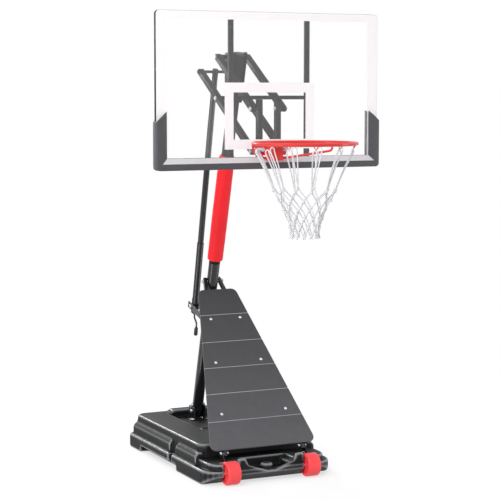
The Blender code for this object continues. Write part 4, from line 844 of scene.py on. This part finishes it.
def printed_band(name, outer, inner, material):
    """A thin band of ink between two outlines with equal counts, on the back of the sheet."""
    near, far = board_high.y + INK_GAP, board_high.y + INK
    rings = [
        [Vector((x, y, z)) for x, z in outline]
        for y, outline in ((near, outer), (near, inner), (far, inner), (far, outer), (near, outer))
    ]
    bm = bmesh.new()
    loft(bm, rings)
    bmesh.ops.remove_doubles(bm, verts=bm.verts, dist=MERGE_GAP)
    show(name, mesh_from(name, bm), material, "board", "clear_acrylic")


# White ink: opaque and even, a touch warm, with the faint weave of the print screen.
ink = finish(
    "white_ink",
    ("FAF6F9", "F6F2F5"),
    grain=0.0006,
    relief=0.00001,
    rough=(0.42, 0.5),
)
printed_band(
    "printed_border",
    rounded_box(
        board_high.x - BORDER_INSET, board_low.z + BORDER_INSET, board_high.z - BORDER_INSET, BORDER_CORNER
    ),
    rounded_box(BORDER_INNER_X, BORDER_INNER_BOTTOM, BORDER_INNER_TOP, PRINT_CORNER),
    ink,
)
printed_band(
    "printed_target",
    rounded_box(TARGET_HALF, TARGET_BOTTOM, TARGET_TOP, PRINT_CORNER),
    rounded_box(
        TARGET_HALF - TARGET_BAND, TARGET_BOTTOM + TARGET_BAND, TARGET_TOP - TARGET_BAND, PRINT_CORNER
    ),
    ink,
)


# Edge pad: a moulded foam pad with a grey skin that grips the board's lower corners and its bottom edge.
# Its front face falls back to the sheet in a wide bevel, and a parting groove runs along its side.
LIMB_WIDE = 0.052
BOTTOM_HIGH = 0.055
TOP_SLANT = 0.048
PAD_CORNER = 0.018
PAD_LEAST_CORNER = 0.002
PAD_INNER_CORNER = 0.0015
PAD_CORNER_STEPS = 8
PAD_WALL = 0.004
SHEET_LIP = 0.004
BEVEL_WIDE = 0.025
BEVEL_SHARE = 0.94
BEVEL_DROP = 0.001
FRONT_ROUND = 0.004
BACK_ROUND = 0.005
ROUND_TURNS = (0.0, 36.0, 67.5, 90.0)
BACK_CHAMFER = 0.002
GROOVE_FORWARD = 0.012
GROOVE_DEPTH = 0.0018
GROOVE_MOUTH = 0.0022
GROOVE_FLOOR = 0.0012
FOAM_CREASE = math.radians(30)
LEDGE_RISE = 0.3
edge_low, edge_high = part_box("edge_pad")
slot_front = board_low.y - PAD_FIT
slot_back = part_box("board_frame")[1].y + PAD_FIT
groove = (edge_low.y + edge_high.y) / 2 - GROOVE_FORWARD


def pad_line(edge, inset):
    """The pad's outer or inner line as X and Z, set in towards the pad's middle by an inset."""
    tilt = TOP_SLANT / LIMB_WIDE
    if edge == "outer":
        x, low = edge_high.x - inset, edge_low.z + inset
        top = edge_high.z - TOP_SLANT + tilt * inset
        radius = max(PAD_CORNER - inset, PAD_LEAST_CORNER)
    else:
        x, low = edge_high.x - LIMB_WIDE + inset, edge_low.z + BOTTOM_HIGH - inset
        top = edge_high.z - tilt * inset
        radius = PAD_INNER_CORNER
    right = arc((x - radius, low + radius), radius, 0, -90, PAD_CORNER_STEPS)
    left = arc((radius - x, low + radius), radius, -90, -180, PAD_CORNER_STEPS)
    return [(x, top), *right, *left, (-x, top)]


pad_profile = [
    ("inner", 0.0, slot_front),
    ("inner", 0.0, board_low.y - SHEET_LIP),
    ("inner", BEVEL_WIDE * BEVEL_SHARE, edge_low.y + BEVEL_DROP),
    ("inner", BEVEL_WIDE, edge_low.y),
]
for turn in map(math.radians, ROUND_TURNS):
    inset = FRONT_ROUND * (1 - math.sin(turn))
    pad_profile.append(("outer", inset, edge_low.y + FRONT_ROUND * (1 - math.cos(turn))))
pad_profile += [
    ("outer", 0.0, groove - GROOVE_MOUTH),
    ("outer", GROOVE_DEPTH, groove - GROOVE_FLOOR),
    ("outer", GROOVE_DEPTH, groove + GROOVE_FLOOR),
    ("outer", 0.0, groove + GROOVE_MOUTH),
]
for turn in map(math.radians, ROUND_TURNS):
    inset = BACK_ROUND * (1 - math.cos(turn))
    pad_profile.append(("outer", inset, edge_high.y - BACK_ROUND * (1 - math.sin(turn))))
pad_profile += [
    ("inner", BACK_CHAMFER, edge_high.y),
    ("inner", 0.0, edge_high.y - BACK_CHAMFER),
    ("inner", 0.0, slot_back),
    ("outer", PAD_WALL, slot_back),
    ("outer", PAD_WALL, slot_front),
]
rings = [[Vector((x, y, z)) for x, z in pad_line(edge, inset)] for edge, inset, y in pad_profile]
bm = bmesh.new()
loft(bm, [*rings, rings[0]], closed=False)
bmesh.ops.remove_doubles(bm, verts=bm.verts, dist=MERGE_GAP)
bmesh.ops.holes_fill(bm, edges=[e for e in bm.edges if e.is_boundary], sides=0)
mesh = mesh_from("edge_pad_moulding", bm, FOAM_CREASE)

# Grey skin foam: dark grey and matt, with a pebbled mould grain of 1.2 mm.
skin_foam = finish(
    "grey_skin_foam",
    ("454447", "4D4C50"),
    grain=0.0012,
    relief=0.0001,
    rough=(0.46, 0.58),
    pattern="TexVoronoi",
    specular=0.35,
)
# Lit skin foam: the ledge under the sheet left the mould smooth, and its paler grey is painted light
# on the faces that turn up and forward.
painted_lit_foam = finish(
    "painted_lit_skin_foam",
    ("C6C4C7", "CFCDD0"),
    grain=0.0012,
    relief=0.00003,
    rough=(0.30, 0.42),
)
moulding = show("edge_pad_moulding", mesh, skin_foam, "board", "grey_pad", "edge_pad")
mesh.materials.append(painted_lit_foam)
# The faces that turn up and forward take the paler foam as a painted highlight.
for face in mesh.polygons:
    face.material_index = int(face.normal.z > LEDGE_RISE and face.normal.y < -LEDGE_RISE)


# Rim: a solid steel ring with its box, brace and net hooks, on a plate that is bolted to the board.
# Ring, box, brace and hooks are welded together, hinged on the plate and powder-coated red like it.
RIM_EDGE = 0.0006

# Red powder coat: warm red and glossy, with an orange peel of 1.5 mm.
red_coat = finish(
    "red_powder_coat",
    ("DE3330", "D42B29"),
    grain=0.0015,
    relief=0.00005,
    rough=(0.26, 0.36),
    specular=0.4,
)
dress(["rim", "rim_mount"], red_coat, RIM_EDGE)


# Rim springs: two coils of zinc-plated wire, each on a bolt through the rim's flange.
# The flange presses them together as the rim tips, and they bring it back.
COIL_TURNS = 6
COIL_STEPS = 24
WIRE_SIDES = 8
WIRE_RADIUS = 0.0012


def tube(bm, path, radius, sides, lobes=0, pitch=1.0, lobe_depth=0.0):
    """Adds a round tube along a path; lobes twist round it like the strands of a cord."""
    rings = []
    normal = None
    run = 0.0
    for k, point in enumerate(path):
        ahead = (path[min(k + 1, len(path) - 1)] - path[max(k - 1, 0)]).normalized()
        if normal is None:
            normal = ahead.orthogonal().normalized()
        else:
            run += (point - path[k - 1]).length
            normal = (normal - ahead * normal.dot(ahead)).normalized()
        across = ahead.cross(normal)
        ring = []
        for n in range(sides):
            turn = math.tau * n / sides
            swell = 1 + lobe_depth * math.cos(lobes * (turn - math.tau * run / pitch))
            ring.append(point + (normal * math.cos(turn) + across * math.sin(turn)) * radius * swell)
        rings.append(ring)
    made = loft(bm, rings)
    bm.faces.new(made[0])
    bm.faces.new(made[-1])


for side in ("left", "right"):
    low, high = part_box(f"rim_spring_{side}")
    middle = (low + high) / 2
    length = high.y - low.y
    radius = (high.x - low.x) / 2 - WIRE_RADIUS
    count = COIL_TURNS * COIL_STEPS
    path = []
    for k in range(count + 1):
        turn = math.tau * k / COIL_STEPS
        y = low.y + WIRE_RADIUS + (length - 2 * WIRE_RADIUS) * k / count
        path.append(Vector((middle.x + radius * math.cos(turn), y, middle.z + radius * math.sin(turn))))
    bm = bmesh.new()
    tube(bm, path, WIRE_RADIUS, WIRE_SIDES)
    name = f"rim_spring_{side}_coil"
    coil = show(name, mesh_from(name, bm), zinc, "board", "zinc", f"rim_spring_{side}")
    seat = Vector((middle.x, low.y, middle.z))
    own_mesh(coil)
dress(["spring_bolt_left", "spring_bolt_right"], zinc)


# Net: white nylon cord in twelve long loops from the rim's hooks, knotted into diamonds down to an open end.
# The cord is twisted from two strands. Each crossing is an overhand knot, and the bottom row has short tails.
LOOPS = 12
HOOK_SHIFT = 0.5
CORD = 0.0031
CORD_SIDES = 8
CORD_STRANDS = 2
CORD_STEP = 0.004
CORD_LEAST_STEPS = 3
CORD_CREASE = math.radians(60)
CORD_SHEEN = 0.2
STRAND_SWELL = 0.16
TWIST_PITCH = 0.016
LOOP_HALF = 0.0125
LOOP_RISE = 0.016
LOOP_STEPS = 8
ROW_DROPS = (0.187, 0.229, 0.271, 0.312, 0.352, 0.392)
ROW_RADII = (0.142, 0.117, 0.096, 0.079, 0.068, 0.063)
KNOT_RADIUS = 0.0044
KNOT_HEIGHT = 0.010
KNOT_TURNS = 2.5
KNOT_STEPS = 12
TAIL = 0.010
TAIL_LEANS = (0.006, -0.005)
SAG = 0.0045
BOW_BELOW = 60
BOW_ABOVE = 20
BOW_TAIL = 50
BOW_SEED = 1
net_low, net_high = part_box("net")
ring_middle = Vector(((net_low.x + net_high.x) / 2, (net_low.y + net_high.y) / 2, 0.0))
net_top = net_high.z - CORD
hook_radius = (net_high.x - net_low.x) / 2 - CORD


def net_spot(turn, radius, drop, aside=0.0):
    """A point of the net: an angle in hook spacings, a radius, a drop below the hooks and a shift round."""
    angle = math.tau * (turn + HOOK_SHIFT) / LOOPS
    out = Vector((math.cos(angle), math.sin(angle), 0.0))
    on = Vector((-math.sin(angle), math.cos(angle), 0.0))
    return ring_middle + out * radius + on * aside + Z_AXIS * (net_top - drop)


def twisted(bm, path):
    """Adds the two-stranded cord along a path."""
    tube(bm, path, CORD, CORD_SIDES, CORD_STRANDS, TWIST_PITCH, STRAND_SWELL)


def cord(bm, start, end, bow):
    """Adds a twisted cord from one spot to another, bowed by a vector at its middle."""
    count = max(CORD_LEAST_STEPS, round((end - start).length / CORD_STEP))
    steps = [k / count for k in range(count + 1)]
    twisted(bm, [start.lerp(end, step) + bow * math.sin(math.pi * step) for step in steps])


def knot(bm, middle):
    """Adds the turns of cord that make a knot."""
    count = int(KNOT_TURNS * KNOT_STEPS)
    path = []
    for k in range(count + 1):
        turn = math.tau * k / KNOT_STEPS
        rise = (k / count - 0.5) * KNOT_HEIGHT
        path.append(middle + Vector((math.cos(turn) * KNOT_RADIUS, math.sin(turn) * KNOT_RADIUS, rise)))
    tube(bm, path, CORD, CORD_SIDES)


# Blender seeds its vector noise by the clock, so the bows of the cords need a seed to be alike on each run.
noise.seed_set(BOW_SEED)
bm = bmesh.new()
for n in range(LOOPS):
    arch = []
    for k in range(LOOP_STEPS + 1):
        turn = math.pi * k / LOOP_STEPS
        arch.append(net_spot(n, hook_radius, LOOP_RISE * (1 - math.sin(turn)), LOOP_HALF * math.cos(turn)))
    twisted(bm, arch)
    first = net_spot(n, ROW_RADII[0], ROW_DROPS[0])
    inward = (ring_middle + Z_AXIS * first.z - first).normalized()
    for end in (arch[0], arch[-1]):
        cord(bm, end, first, inward * SAG)
    knot(bm, first)
    for level in range(1, len(ROW_DROPS)):
        shift = level % 2 / 2
        here = net_spot(n + shift, ROW_RADII[level], ROW_DROPS[level])
        knot(bm, here)
        for aside in (shift - 0.5, shift + 0.5):
            above = net_spot(n + aside, ROW_RADII[level - 1], ROW_DROPS[level - 1])
            cord(bm, above, here, noise.noise_vector(here * BOW_BELOW + above * BOW_ABOVE) * SAG)
    for lean_out in TAIL_LEANS:
        tip = net_spot(n + shift, ROW_RADII[-1] + lean_out, ROW_DROPS[-1] + TAIL, lean_out)
        cord(bm, here, tip, noise.noise_vector(tip * BOW_TAIL) * SAG)
mesh = mesh_from("net_cord", bm, CORD_CREASE)

# Nylon cord: white and soft, with fibres of 0.4 mm that catch a little sheen.
nylon = finish(
    "white_nylon_cord",
    ("E2E2E5", "D2D2D6"),
    grain=0.0004,
    relief=0.0001,
    rough=(0.55, 0.7),
    specular=0.3,
)
nylon.node_tree.nodes["Principled BSDF"].inputs["Sheen Weight"].default_value = CORD_SHEEN
show("net_cord", mesh, nylon, "rim", "nylon", "net")
